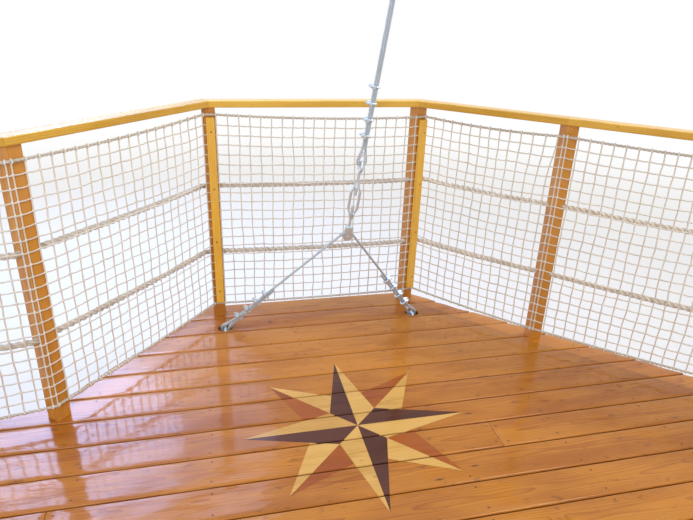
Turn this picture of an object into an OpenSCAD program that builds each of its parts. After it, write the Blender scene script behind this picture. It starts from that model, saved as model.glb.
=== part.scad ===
// Railed terrace of a tree house: a plank deck of irregular plan on joists, a mitred
// handrail on square posts, rope net guards, and a wire rope stay that holds the front
// edge up through a two-legged bridle. The deck plan is drawn from the centre of the
// compass star; the part's origin is on the back face of the ledger.

/* [Plan] */
// Length of the front bay
front_bay = 1000; // [850:10:1150]
// Length of the diagonal bay on the left
left_bay = 980; // [850:10:1050]
// Length of the diagonal bay on the right
right_bay = 710; // [600:10:850]
// Length of the wing bay on the left
left_wing_bay = 1000; // [850:10:1100]
// Length of the wing bay on the right
right_wing_bay = 1000; // [850:10:1100]
// Turn of the left diagonal from the front bay, in degrees
left_turn = 50; // [44:1:56]
// Turn of the right diagonal and its wing from the front bay, in degrees
right_turn = 45; // [40:1:50]
// Turn of the left wing from the front bay, in degrees
wing_turn = 11; // [6:1:16]
// Distance from the star's centre to the front net
front_reach = 985; // [940:5:1050]
// Distance from the star's centre to the house wall
rear_reach = 950; // [850:10:1050]
// Distance of the front left post from the star's centre, along the boards
left_reach = 493; // [460:1:530]

/* [Deck] */
// Thickness of the deck boards
deck_t = 28; // [22:1:40]
// Reach of the deck past the net
deck_out = 110; // [100:1:140]
// Depth of the joists, rim and ledger
joist_h = 140; // [100:5:180]
// Width of a joist
joist_w = 50; // [40:1:60]
// Spacing of the joists
joist_pitch = 440; // [420:5:460]
// Place of the middle joist from the star's centre
joist_shift = -120; // [-140:5:-100]
// Width of the rim beams
rim_w = 50; // [40:1:60]
// Distance of the rim beams in from the deck's edge
rim_set_in = 47; // [30:1:60]
// Thickness of the ledger on the house wall
ledger_t = 60; // [40:1:80]
// Width of the front bearer
bearer_w = 100; // [80:1:120]
// Depth of the front bearer
bearer_h = 160; // [120:5:200]
// Reach of the bearer past each bridle foot
bearer_past = 205; // [190:1:215]

/* [Star] */
// Radius of the four main points
star_r = 441; // [380:1:480]
// Radius of the four smaller points
star_small_r = 438; // [380:1:480]
// Radius of the notches between the points
star_notch_r = 130; // [110:1:145]
// Distance from a notch to the foot of a smaller point, along a main edge
star_foot = 112; // [90:1:130]
// Depth of the inlay
inlay_t = 4; // [2:0.5:8]
// Open line round each inlaid piece
inlay_gap = 0.25; // [0.1:0.05:0.3]

/* [Railing] */
// Side of a square post
post_w = 60; // [55:1:70]
// Bevel on the post edges
post_bevel = 3; // [1:0.5:5]
// Height of the handrail's top over the deck
rail_top = 1090; // [1060:10:1200]
// Thickness of the handrail
rail_t = 30; // [24:1:40]
// Width of the handrail
rail_w = 75; // [70:1:110]
// Reach of the handrail inside the net
rail_in = 10; // [0:1:25]
// Rounding of the handrail's edges
rail_round = 5; // [2:1:8]

/* [Net] */
// Height of the net's top border rope over the deck
net_top = 1012; // [920:1:1025]
// Height of the net's bottom border rope over the deck
net_bottom = 75; // [60:5:110]
// Width of a mesh
mesh_w = 50; // [46:1:80]
// Height of a mesh
mesh_h = 44; // [42:1:80]
// Thickness of the net cord
cord_d = 5; // [4:0.5:8]
// Diameter of the border ropes
border_d = 12; // [8:1:16]
// Width of a clamping batten
batten_w = 38; // [30:1:40]
// Thickness of a clamping batten
batten_t = 20; // [15:1:30]
// Reach of the net past a batten's edge
batten_margin = 6; // [5:0.5:8]
// Step of the front right batten from the post's ridge
batten_step = 8; // [6:0.5:10]

/* [Ropes] */
// Diameter of the guard ropes
rope_d = 26; // [18:1:30]
// Height of the upper guard rope over the deck
rope_upper_z = 690; // [620:5:760]
// Height of the lower guard rope over the deck
rope_lower_z = 350; // [280:5:420]
// Distance of a guard rope's bend past a post's face
rope_past = 12; // [11:1:20]
// Radial room for a rope in its hole
rope_room = 0.25; // [0.1:0.05:0.3]

/* [Stay] */
// Diameter of the wire rope
wire_d = 12; // [10:1:14]
// Distance of the bridle feet in from the front net
bridle_in = 135; // [115:5:185]
// Place of the left bridle foot along the boards
foot_left_x = -472; // [-480:1:-440]
// Place of the right bridle foot along the boards
foot_right_x = 512; // [470:1:560]
// Place of the bridle sheave along the boards
sheave_x = 128; // [60:1:150]
// Height of the bridle sheave, measured up the stay's plane
sheave_up = 483; // [440:1:520]
// Place of the top eye along the boards
anchor_x = 416; // [360:1:520]
// Height of the top eye, measured up the stay's plane
anchor_up = 2900; // [2600:10:3400]
// Lean of the stay's plane towards the house, in degrees
stay_lean = 6; // [4:0.5:8]
// Bore of a thimble
thimble_bore = 24; // [22:1:30]
// Wall of a thimble
thimble_wall = 2; // [1.5:0.5:3]
// Distance from a thimble's crown to its point
thimble_l = 60; // [50:1:75]
// Distance from a thimble's crown to its first clip
clip_first = 88; // [80:1:100]
// Distance from the stay's lower thimble to its first clip
stay_clip_first = 120; // [100:1:150]
// Spacing of the stay's lower clips
stay_clip_pitch = 72; // [60:1:76]
// Spacing of the other clips
clip_pitch = 60; // [55:1:72]
// Number of clips on each rope end
clip_n = 4; // [3:1:5]
// Rod diameter of a clip's U-bolt
clip_rod_d = 8; // [6:1:10]
// Length of a rope tail past its last clip
tail_past = 45; // [25:1:80]
// Length of the stay's lower tail past its last clip
stay_tail_past = 600; // [300:10:900]

/* [Fittings] */
// Mean radius of an eye
eye_r = 24; // [23:1:28]
// Rod diameter of an eye
eye_rod_d = 14; // [12:1:16]
// Shank diameter of a foot eye bolt
foot_shank_d = 16; // [12:1:20]
// Shank diameter of the top eye bolt
anchor_shank_d = 20; // [16:1:24]
// Free length of the top eye bolt's shank
anchor_shank_l = 160; // [100:5:220]
// Radius of the hole in the deck round a foot eye
foot_hole_r = 36; // [34:1:40]
// Length of the turnbuckle's body
buckle_l = 180; // [170:5:205]
// Distance from the bridle sheave to the turnbuckle's body
buckle_start = 95; // [85:1:100]
// Distance from the bridle sheave to the stay's lower thimble
buckle_reach = 376; // [370:1:400]
// Diameter of the turnbuckle's screws
screw_d = 14; // [12:1:16]
// Width of the turnbuckle's body
buckle_w = 54; // [48:1:60]
// Distance from an end of the body to its full width
buckle_shoulder = 48; // [40:1:60]
// Side of the turnbuckle's side bars
buckle_bar = 11; // [8:1:12]
// Radius of the wire rope's bend on the bridle sheave
sheave_r = 24; // [22:1:30]
// Diameter of the fork's pin
fork_pin_d = 16; // [12:1:18]
// Thickness of the fork's arms
fork_arm_t = 8; // [6:1:10]

/* [Hidden] */
$fn = 48;

// Clearances between pieces that touch in the real thing
seat = 0.2;
cord_back = 1;
net_edge = 8;
rope_bend = 4;
thimble_lip = 1;
thimble_flank = 0.72;
joint_gap = 0.1;
cord_gap = 0.5;
bore_room = 0.2;

// Colours, as the photo shows them
deck_colour = [0.85, 0.52, 0.20];
frame_colour = [0.72, 0.50, 0.28];
rail_colour = [0.86, 0.56, 0.24];
batten_colour = [0.93, 0.68, 0.28];
net_colour = [0.88, 0.84, 0.74];
rope_colour = [0.72, 0.68, 0.58];
steel_colour = [0.72, 0.76, 0.78];
dark_inlay_colour = [0.34, 0.18, 0.10];
brown_inlay_colour = [0.78, 0.42, 0.16];
pale_inlay_colour = [0.93, 0.74, 0.42];

// Plan of the net: the points where it bends, from the left end at the house wall to the right end
function dir(a) = [cos(a), sin(a)];
front_left = [-left_reach, front_reach];
bridle_y = front_reach - bridle_in;
front_right = front_left + front_bay * dir(0);
left_corner = front_left - left_bay * dir(left_turn);
left_wing_corner = left_corner - left_wing_bay * dir(wing_turn);
right_corner = front_right + right_bay * dir(-right_turn);
right_wing_corner = right_corner + right_wing_bay * dir(-right_turn);
plan = [
    [left_wing_corner[0], -rear_reach], left_wing_corner, left_corner, front_left,
    front_right, right_corner, right_wing_corner, [right_wing_corner[0], -rear_reach]
];
last = len(plan) - 1;
function way(a, b) = atan2(b[1] - a[1], b[0] - a[0]);
function wrap(a) = a > 180 ? a - 360 : a <= -180 ? a + 360 : a;
function bay_way(i) = way(plan[i], plan[i + 1]);
function out_of(a) = dir(a + 90);

// The plan moved outwards by d, with mitred corners and straight ends at the house wall
function moved(i, d) =
    i == 0 ? plan[0] + d * out_of(bay_way(0)) :
    i == last ? plan[last] + d * out_of(bay_way(last - 1)) :
    let (turn = wrap(bay_way(i) - bay_way(i - 1)), middle = bay_way(i - 1) + turn / 2)
    plan[i] + d / cos(turn / 2) * out_of(middle);

// Each post meets the net at a face or at a ridge; post_aim is where that feature points
post_on_face = [true, true, false, true, false, false, true, true];
post_has_batten = [true, true, false, true, true, false, true, true];
function corner_aim(i) = bay_way(i - 1) + wrap(bay_way(i) - bay_way(i - 1)) / 2 - 90;
tab_reach = batten_w / 2 + batten_margin;
left_net_way = way(left_corner, front_left - [tab_reach, 0]);
post_aim = [
    0, corner_aim(1), left_net_way - 135, -90,
    corner_aim(4), -90 - right_turn, corner_aim(6), 180
];
// A post's rope holes lie along its bays where these are in line, or else along its inner face
function hole_way(i) = !at_wall(i) && bay_way(i) == bay_way(i - 1) ? bay_way(i) : face_way(i);
function at_wall(i) = i == 0 || i == last;
function post_contact(i) =
    i == 0 ? [net_in(1)[0], post_w / 2 - rear_reach] :
    i == last ? [net_out(last - 1)[0], post_w / 2 - rear_reach] : plan[i];
function post_centre(i) =
    post_contact(i) - post_w * (post_on_face[i] ? 0.5 : sqrt(0.5)) * dir(post_aim[i]);
function post_turn(i) = post_aim[i] + (post_on_face[i] ? 0 : 45);

// The net lies along a post's face under a batten: from net_in to net_out
function face_way(i) = post_turn(i) + 90;
function batten_middle(i) = post_on_face[i] ? 0 : batten_step + batten_w / 2;
function net_in(i) = post_contact(i)
    - (post_has_batten[i] && post_on_face[i] ? tab_reach : 0) * dir(face_way(i));
function net_out(i) = post_contact(i)
    + (post_has_batten[i] ? batten_middle(i) + tab_reach : 0) * dir(face_way(i));
function net_way(i) = way(net_out(i), net_in(i + 1));

// Heights, from the deck's top
joist_top = -deck_t;
joist_bottom = joist_top - joist_h;
bearer_bottom = joist_bottom - bearer_h;
rail_bottom = rail_top - rail_t;
rim_middle = deck_out - rim_set_in - rim_w / 2;
origin_z = joist_top - joist_h / 2;

// Wire rope ends
wire_r = wire_d / 2;
pair_w = wire_r + seat;
thimble_r = thimble_bore / 2 + thimble_wall + wire_r + seat;
thimble_half = wire_r + seat + thimble_wall;
eye_rod_r = eye_rod_d / 2;
eye_hole_r = eye_r - eye_rod_r;

// A thimble's crown rests inside an eye, whose hole is round: half its width decides how far in.
// The foot eyes stand upright, so the leaning thimble reaches further across them.
function rest_shift(half) = thimble_bore / 2 - eye_rod_r - seat
    - (eye_hole_r - sqrt(pow(eye_hole_r, 2) - pow(half, 2)));
stay_shift = rest_shift(thimble_half);
foot_shift = rest_shift(thimble_half + seat + eye_rod_d * sin(stay_lean));

clip_bow_r = wire_r + 2 * seat + clip_rod_d / 2;

// Lines of the stay's plane: along the boards and up the plane
feet = [[foot_left_x, 0], [foot_right_x, 0]];
sheave_at = [sheave_x, sheave_up];
anchor_at = [anchor_x, anchor_up];
stay_way = way(sheave_at, anchor_at);
stay_foot = sheave_at + buckle_reach * dir(stay_way);

// The star's centre lies in front of the part's origin, on the ledger's back
module placed() {
    translate([0, rear_reach, -origin_z]) children();
}

// Drawn along the boards and up the stay's plane, which leans to the house over the bridle feet
module in_stay_plane() {
    placed() translate([0, bridle_y, 0]) rotate([stay_lean, 0, 0]) rotate([90, 0, 0]) children();
}

// The same plane, drawn from a point along a way
module on_line(from, line_way) {
    in_stay_plane() translate([from[0], from[1], 0]) rotate([0, 0, line_way]) children();
}

// Plan pieces
module prism(points, bottom, height) {
    translate([0, 0, bottom]) linear_extrude(height) polygon(points);
}

// A strip of the plan between two offsets along bay i, its ends drawn in by the joint gap
function bay_strip(i, inner, outer) =
    let (
        points = [moved(i, inner), moved(i + 1, inner), moved(i + 1, outer), moved(i, outer)],
        gap = joint_gap * dir(bay_way(i))
    )
    [points[0] + gap, points[1] - gap, points[2] - gap, points[3] + gap];

// The plan's outline moved outwards by d, closed along the line y = back
function closed_plan(d, back) = [
    for (i = [0 : last]) at_wall(i) ? [moved(i, d)[0], back] : moved(i, d)
];

// A convex outline drawn anticlockwise, with every edge moved inwards by d
function inward(a, b) = let (v = (b - a) / norm(b - a)) [-v[1], v[0]];
function inset(points, d) = let (n = len(points)) [
    for (i = [0 : n - 1])
        let (
            before = inward(points[(i + n - 1) % n], points[i]),
            after = inward(points[i], points[(i + 1) % n])
        )
        points[i] + d * (before + after) / (1 + before * after)
];

// Points of the star: side is 1 for the half on the anticlockwise side of a point, else -1
function in_turn(side, points) = side > 0 ? points : [points[0], points[2], points[1]];
function main_tip(a) = star_r * dir(a);
function small_tip(a) = star_small_r * dir(a);
function notch(a) = star_notch_r * dir(a);
function small_foot(a, side) =
    let (edge = main_tip(a + 45 * side) - notch(a)) notch(a) + star_foot * edge / norm(edge);
function main_half(a, side) = in_turn(side, [[0, 0], main_tip(a), notch(a + 45 * side)]);
function small_half(a, side) = in_turn(side, [notch(a), small_tip(a), small_foot(a, side)]);
star_outline = [
    for (a = [0 : 90 : 270], point = [
        main_tip(a), small_foot(a + 45, -1), small_tip(a + 45), small_foot(a + 45, 1)
    ]) point
];

module deck_floor() {
    color(deck_colour) placed() difference() {
        prism(closed_plan(deck_out, -rear_reach), -deck_t, deck_t);
        prism(star_outline, -inlay_t, 2 * inlay_t);
        for (foot = feet)
            translate([foot[0], bridle_y, -2 * deck_t]) cylinder(r = foot_hole_r, h = 3 * deck_t);
    }
}

module inlaid(points) {
    placed() prism(inset(points, inlay_gap), -inlay_t, inlay_t);
}

module star_dark() {
    color(dark_inlay_colour) for (a = [0 : 90 : 270]) inlaid(main_half(a, 1));
}

module star_brown() {
    color(brown_inlay_colour) for (a = [45 : 90 : 315]) inlaid(small_half(a, 1));
}

module star_pale() {
    color(pale_inlay_colour) for (a = [0 : 90 : 270]) {
        inlaid(main_half(a, -1));
        inlaid(small_half(a + 45, -1));
    }
}

// Underside
module house_ledger() {
    left = moved(0, rim_middle + rim_w / 2)[0];
    right = moved(last, rim_middle + rim_w / 2)[0];
    color(frame_colour) placed()
        translate([left, -rear_reach, joist_bottom]) cube([right - left, ledger_t, joist_h]);
}

module rim_beams() {
    right = moved(last, deck_out)[0];
    left = moved(0, deck_out)[0];
    color(frame_colour) placed() for (i = [0 : last - 1])
        difference() {
            prism(bay_strip(i, rim_middle - rim_w / 2, rim_middle + rim_w / 2), joist_bottom, joist_h);
            translate([left, -rear_reach - ledger_t, joist_bottom - joist_h])
                cube([right - left, 2 * ledger_t, 3 * joist_h]);
        }
}

module joists() {
    inner = rim_middle - rim_w / 2;
    first = ceil((moved(0, inner)[0] + joist_w - joist_shift) / joist_pitch);
    final = floor((moved(last, inner)[0] - joist_w - joist_shift) / joist_pitch);
    color(frame_colour) placed() for (k = [first : final])
        translate([0, 0, joist_bottom]) linear_extrude(joist_h) intersection() {
            polygon(closed_plan(inner, ledger_t - rear_reach));
            translate([joist_shift + k * joist_pitch - joist_w / 2, -rear_reach])
                square([joist_w, 2 * (rear_reach + front_reach)]);
        }
}

module front_bearer() {
    left = foot_left_x - bearer_past;
    right = foot_right_x + bearer_past;
    color(frame_colour) placed() difference() {
        translate([left, bridle_y - bearer_w / 2, bearer_bottom])
            cube([right - left, bearer_w, bearer_h]);
        for (foot = feet)
            translate([foot[0], bridle_y, bearer_bottom - bearer_h])
                cylinder(d = foot_shank_d + 2 * bore_room, h = 3 * bearer_h);
    }
}

// Railing
function bevelled_square(w, b) = [
    [b, 0], [w - b, 0], [w, b], [w, w - b], [w - b, w], [b, w], [0, w - b], [0, b]
];

module post(i) {
    middle = post_centre(i);
    color(rail_colour) placed() translate([middle[0], middle[1], 0]) difference() {
        rotate([0, 0, post_turn(i)]) translate([-post_w / 2, -post_w / 2, 0])
            linear_extrude(rail_bottom) polygon(bevelled_square(post_w, post_bevel));
        for (z = [rope_upper_z, rope_lower_z]) translate([0, 0, z])
            rotate([0, 0, hole_way(i)]) rotate([0, 90, 0])
                cylinder(d = rope_d + 2 * rope_room, h = 3 * post_w, center = true);
    }
}

module post_wall_left() { post(0); }
module post_wing_left() { post(1); }
module post_left() { post(2); }
module post_front_left() { post(3); }
module post_front_right() { post(4); }
module post_right() { post(5); }
module post_wing_right() { post(6); }
module post_wall_right() { post(7); }

module rail_section() {
    w = rail_w / 2 - rail_round;
    h = rail_t / 2 - rail_round;
    for (x = [-w, w], y = [-h, h]) translate([x, y]) circle(rail_round);
    square([rail_w, 2 * h], center = true);
    square([2 * w, rail_t], center = true);
}

module handrail(i) {
    middle = (plan[i] + plan[i + 1]) / 2 + (rail_w / 2 - rail_in) * out_of(bay_way(i));
    length = norm(plan[i + 1] - plan[i]) + 4 * rail_w;
    color(rail_colour) placed() intersection() {
        translate([middle[0], middle[1], rail_top - rail_t / 2])
            rotate([0, 0, bay_way(i) - 90]) rotate([90, 0, 0])
                linear_extrude(length, center = true) rail_section();
        prism(bay_strip(i, -2 * rail_in - 1, rail_w), rail_bottom - rail_t, 3 * rail_t);
    }
}

module handrail_left_return() { handrail(0); }
module handrail_left_wing() { handrail(1); }
module handrail_left() { handrail(2); }
module handrail_front() { handrail(3); }
module handrail_right() { handrail(4); }
module handrail_right_wing() { handrail(5); }
module handrail_right_return() { handrail(6); }

// Net: one path of the plan, from wall to wall, that bends beside the battens
function turns_out(i) = post_has_batten[i] && abs(wrap(net_way(i) - face_way(i))) > 0.01;
net_path = [for (i = [0 : last]) each (
    at_wall(i) ? [[post_contact(i)[0], -rear_reach]] :
    turns_out(i) ? [net_in(i), net_out(i)] : [net_in(i)]
)];
function net_start(i) = i == 0 ? 0 : net_start(i - 1) + (i > 1 && turns_out(i - 1) ? 2 : 1);

// The path of bay i at a depth in from the posts, its two ends drawn in by gap
function net_lane(i, depth, gap) = let (start = net_start(i), finish = net_start(i + 1)) [
    for (k = [start : finish])
        beside(net_path, k, -depth)
            + (k == start ? gap : 0) * dir(way(net_path[start], net_path[start + 1]))
            - (k == finish ? gap : 0) * dir(way(net_path[finish - 1], net_path[finish]))
];

// A border rope is eight-sided, with a flat side to the posts
module net_border(i, z) {
    section = [
        for (at = backwards(ring(border_d / 2 / cos(22.5), 8))) at + [seat + border_d / 2, z]
    ];
    lanes = [for (at = section) net_lane(i, at[0], joint_gap)];
    placed() joined_rings([
        for (k = [0 : len(lanes[0]) - 1], j = [0 : len(section) - 1])
            [lanes[j][k][0], lanes[j][k][1], section[j][1]]
    ], len(section));
}

// Drawn along x from one point of the plan to another, with y inwards from the posts
module along(from, to) {
    placed() translate([from[0], from[1], 0]) rotate([0, 0, way(from, to)]) mirror([0, 1, 0])
        children();
}

module meshes(length) {
    columns = round(length / mesh_w);
    rows = round((net_top - net_bottom) / mesh_h);
    step = (length - 2 * net_edge) / columns;
    rise = (net_top - net_bottom) / rows;
    for (c = [0 : columns - 1], r = [0 : rows - 1])
        translate([net_edge + c * step + cord_d / 2, net_bottom + r * rise + cord_d / 2])
            square([step - cord_d, rise - cord_d]);
}

// The cords between the borders: a strip of the path, pierced by the meshes between the posts
module cords(i) {
    far = cord_back + cord_d;
    strip = concat(net_lane(i, cord_back, cord_gap), backwards(net_lane(i, far, cord_gap)));
    difference() {
        placed() prism(strip, net_bottom, net_top - net_bottom);
        along(net_out(i), net_in(i + 1)) translate([0, far + cord_d, 0]) rotate([90, 0, 0])
            linear_extrude(far + 2 * cord_d) meshes(norm(net_in(i + 1) - net_out(i)));
    }
}

module net(i) {
    color(net_colour) {
        cords(i);
        net_border(i, net_bottom);
        net_border(i, net_top);
    }
}

module net_left_return() { net(0); }
module net_left_wing() { net(1); }
module net_left() { net(2); }
module net_front() { net(3); }
module net_right() { net(4); }
module net_right_wing() { net(5); }
module net_right_return() { net(6); }

module net_battens() {
    bottom = net_bottom + border_d / 2 + batten_margin;
    top = net_top - border_d / 2 - batten_margin;
    color(batten_colour) for (i = [0 : last]) if (post_has_batten[i])
        along(post_contact(i), post_contact(i) + dir(face_way(i)))
            translate([batten_middle(i) - batten_w / 2, cord_back + cord_d + seat, bottom])
                cube([batten_w, batten_t, top - bottom]);
}

// A section swept along a flat path: its points lie left of the path and out of the plane
function path_way(path, k) =
    k == 0 ? way(path[0], path[1]) :
    k == len(path) - 1 ? way(path[k - 1], path[k]) :
    way(path[k - 1], path[k]) + wrap(way(path[k], path[k + 1]) - way(path[k - 1], path[k])) / 2;
function path_stretch(path, k) =
    k == 0 || k == len(path) - 1 ? 1 :
    1 / cos(wrap(way(path[k], path[k + 1]) - way(path[k - 1], path[k])) / 2);

function beside(path, k, out) = path[k] + out * path_stretch(path, k) * dir(path_way(path, k) + 90);

// Rings of n points each, joined one to the next and closed at both ends
module joined_rings(points, n) {
    ends = len(points) / n - 1;
    sides = [
        for (k = [0 : ends - 1], j = [0 : n - 1])
            [k * n + j, (k + 1) * n + j, (k + 1) * n + (j + 1) % n, k * n + (j + 1) % n]
    ];
    start_cap = [for (j = [0 : n - 1]) j];
    end_cap = [for (j = [n - 1 : -1 : 0]) ends * n + j];
    polyhedron(points, concat([start_cap], sides, [end_cap]));
}

module swept(path, section) {
    joined_rings([
        for (k = [0 : len(path) - 1], at = section)
            let (place = beside(path, k, at[0])) [place[0], place[1], at[1]]
    ], len(section));
}

function ring(r, sides) = [for (k = [0 : sides - 1]) r * dir(360 * (k + 0.5) / sides)];

// A path whose bends are cut back by d
function eased(path, d) = [
    for (k = [0 : len(path) - 1], end = [-1, 1])
        if (k == 0 ? end > 0 : k == len(path) - 1 ? end < 0 : true)
            path[k] + (k == 0 || k == len(path) - 1 ? 0 : 1)
                * end * d * dir(end < 0 ? way(path[k - 1], path[k]) : way(path[k], path[k + 1]))
];

// Guard ropes run straight through each post's middle and bend past its faces
rope_path = eased([
    for (i = [0 : last], end = [-1, 1])
        post_centre(i) + end * (i == (end < 0 ? 0 : last) ? post_w / 2 - joint_gap : post_w / 2 + rope_past)
            * dir(hole_way(i))
], rope_bend);

module guard_rope(z) {
    color(rope_colour) placed() translate([0, 0, z]) swept(rope_path, ring(rope_d / 2, 12));
}

module upper_guard_rope() { guard_rope(rope_upper_z); }
module lower_guard_rope() { guard_rope(rope_lower_z); }

// A rope's end turned back round a thimble, from the middle of its crown: x runs along the
// rope, the live part lies at +pair_w and the tail at -pair_w. The rope leaves the crown at flank_at
// and its flanks meet where the thimble comes to its point.
thimble_point = [thimble_l, pair_w];
flank_at = way([0, 0], thimble_point) + acos(thimble_r / norm(thimble_point));
flank_l = sqrt(pow(norm(thimble_point), 2) - pow(thimble_r, 2));
bend = wire_r;
crown_steps = 10;
function backwards(points) = [for (k = [len(points) - 1 : -1 : 0]) points[k]];
function turned_over(points) = [for (point = points) [point[0], -point[1]]];
half_crown = [
    for (k = [0 : crown_steps]) thimble_r * dir(180 - (180 - flank_at) * k / crown_steps)
];
half_eye = concat(half_crown, [thimble_point - bend * dir(flank_at - 90), thimble_point + [bend, 0]]);
rope_eye = concat(backwards(turned_over(half_eye)), [for (k = [1 : len(half_eye) - 1]) half_eye[k]]);
function rope_end(tail) = concat([[tail, -pair_w]], rope_eye);

// The same points set out from a place along a way, with the live part on the given side
function set_out(points, from, line_way, side) = [
    for (point = points) from + point[0] * dir(line_way) + side * point[1] * dir(line_way + 90)
];

wire_section = ring(wire_r, 12);

// Bridle: each leg's live part runs tangent to the sheave's groove
function leg_side(foot) = foot[0] < sheave_x ? 1 : -1;
function leg_way(foot) = way(foot, sheave_at)
    + leg_side(foot) * asin((sheave_r - pair_w) / norm(sheave_at - foot));
bridle_tail = clip_first + (clip_n - 1) * clip_pitch + tail_past;
function foot_crown(foot) = foot + foot_shift * dir(leg_way(foot));
function leg_path(foot) =
    set_out(rope_end(bridle_tail), foot_crown(foot), leg_way(foot), leg_side(foot));

module bridle_rope() {
    from = leg_way(feet[0]) + 90;
    to = leg_way(feet[1]) - 90;
    over = [for (k = [0 : 6]) sheave_at + sheave_r * dir(from + (to - from) * k / 6)];
    color(steel_colour) in_stay_plane()
        swept(concat(leg_path(feet[0]), over, backwards(leg_path(feet[1]))), wire_section);
}

// A gutter round the rope's inner half: the rope's middle is at the section's origin
module thimble_section() {
    gutter = wire_r + seat;
    difference() {
        translate([-thimble_half, -thimble_half]) square([thimble_half + thimble_lip, 2 * thimble_half]);
        circle(gutter);
        translate([0, -gutter]) square([gutter, 2 * gutter]);
    }
}

module thimble(from, line_way) {
    on_line(from, line_way) {
        rotate([0, 0, flank_at]) rotate_extrude(angle = 360 - 2 * flank_at)
            translate([thimble_r, 0]) thimble_section();
        for (side = [0, 1]) mirror([0, side, 0]) rotate([0, 0, flank_at])
            translate([thimble_r, 0, 0]) rotate([90, 0, 0])
                linear_extrude(thimble_flank * flank_l) thimble_section();
    }
}

module bridle_thimbles() {
    color(steel_colour) for (foot = feet) thimble(foot_crown(foot), leg_way(foot));
}

// A clip's U-bolt goes round the tail and its saddle and nuts sit on the live part, at +y
clip_rod_past = 1.8 * clip_rod_d;
clip_nut_d = 1.9 * clip_rod_d;

module clip() {
    saddle_y = pair_w + wire_r + clip_rod_d / 2;
    rod_end = saddle_y + clip_rod_past;
    rotate([0, 90, 0]) {
        translate([0, -pair_w, 0]) rotate([0, 0, 180]) rotate_extrude(angle = 180)
            translate([clip_bow_r, 0]) circle(d = clip_rod_d);
        for (x = [-clip_bow_r, clip_bow_r]) translate([x, 0, 0]) rotate([-90, 0, 0]) {
            translate([0, 0, -pair_w]) cylinder(d = clip_rod_d, h = rod_end + pair_w);
            translate([0, 0, saddle_y]) cylinder(d = clip_nut_d, h = clip_rod_d, $fn = 6);
        }
        difference() {
            translate([-clip_bow_r - clip_rod_d, pair_w, -clip_rod_d])
                cube([2 * (clip_bow_r + clip_rod_d), saddle_y - pair_w, 2 * clip_rod_d]);
            translate([0, pair_w, -2 * clip_rod_d])
                cylinder(r = wire_r + seat, h = 4 * clip_rod_d);
        }
    }
}

module clips(from, line_way, side, first, pitch) {
    on_line(from, line_way) for (k = [0 : clip_n - 1])
        translate([first + k * pitch, 0, 0])
            rotate([side > 0 ? 0 : 180, 0, 0]) clip();
}

module bridle_clips() {
    color(steel_colour) for (foot = feet)
        clips(foot_crown(foot), leg_way(foot), leg_side(foot), clip_first, clip_pitch);
}

// An eye whose rod's crown is at the origin and whose shank leaves along -x
module eye(shank_d, shank_l) {
    translate([-eye_r, 0, 0]) rotate([90, 0, 0]) rotate_extrude()
        translate([eye_r, 0]) circle(d = eye_rod_d);
    translate([-shank_l, 0, 0]) rotate([0, 90, 0])
        cylinder(d = shank_d, h = shank_l - 2 * eye_r);
}

module disc(x, thick, d, sides) {
    translate([x, 0, 0]) rotate([0, 90, 0]) cylinder(d = d, h = thick, $fn = sides);
}

// A foot's eye bolt: a collar on the bearer, and a plate washer and a nut below it
plate_t = foot_shank_d / 2;
nut_t = 0.8 * foot_shank_d;
collar_d = 2.2 * foot_shank_d;
washer_d = 2.5 * foot_shank_d;
nut_d = 1.7 * foot_shank_d;

module foot_eye_bolts() {
    washer_x = bearer_bottom - seat - plate_t;
    nut_x = washer_x - nut_t;
    color(steel_colour) placed() for (foot = feet)
        translate([foot[0], bridle_y, 0]) rotate([0, 0, 90]) rotate([0, -90, 0]) {
            eye(foot_shank_d, foot_shank_d / 2 - nut_x);
            disc(joist_bottom + seat, plate_t, collar_d, 48);
            disc(washer_x, plate_t, washer_d, 48);
            disc(nut_x, nut_t, nut_d, 6);
        }
}

// Fork, sheave and turnbuckle: drawn from the sheave's middle along the stay
sheave_wall = 2.3;
sheave_half = wire_r + seat + sheave_wall;
fork_gap = 0.5;
fork_crown_room = 6;
fork_crown_x = sheave_r + wire_r + fork_crown_room;
fork_crown_t = 12;
fork_arm_w = 1.75 * fork_pin_d;
fork_pin_past = 3;

module bridle_sheave() {
    groove = wire_r + seat;
    color(steel_colour) on_line(sheave_at, stay_way) rotate_extrude() difference() {
        translate([fork_pin_d / 2 + bore_room, -sheave_half])
            square([sheave_r - fork_pin_d / 2 - bore_room, 2 * sheave_half]);
        translate([sheave_r, 0]) circle(groove);
    }
}

module turnbuckle_fork() {
    inside = sheave_half + fork_gap;
    outside = inside + fork_arm_t;
    color(steel_colour) on_line(sheave_at, stay_way) {
        for (z = [-outside, inside]) translate([0, 0, z]) {
            cylinder(d = fork_arm_w, h = fork_arm_t);
            translate([0, -fork_arm_w / 2, 0])
                cube([fork_crown_x + fork_crown_t, fork_arm_w, fork_arm_t]);
        }
        translate([fork_crown_x, -fork_arm_w / 2, -outside])
            cube([fork_crown_t, fork_arm_w, 2 * outside]);
        translate([0, 0, -outside - fork_pin_past])
            cylinder(d = fork_pin_d, h = 2 * (outside + fork_pin_past));
        disc(fork_crown_x, buckle_start + screw_in - fork_crown_x, screw_d, 48);
    }
}

screw_in = 0.36 * buckle_l;
boss_l = 24;
boss_wall = 4;
boss_flare = 4;
boss_d = screw_d + 2 * boss_wall;
boss_wide_d = boss_d + 2 * boss_flare;
boss_land = 2;

// A quarter of an outline, from its end out to its side, repeated over a length
function four_way(points, length) = concat(
    points,
    [for (point = backwards(points)) [length - point[0], point[1]]],
    [for (point = points) [length - point[0], -point[1]]],
    turned_over(backwards(points))
);

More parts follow.
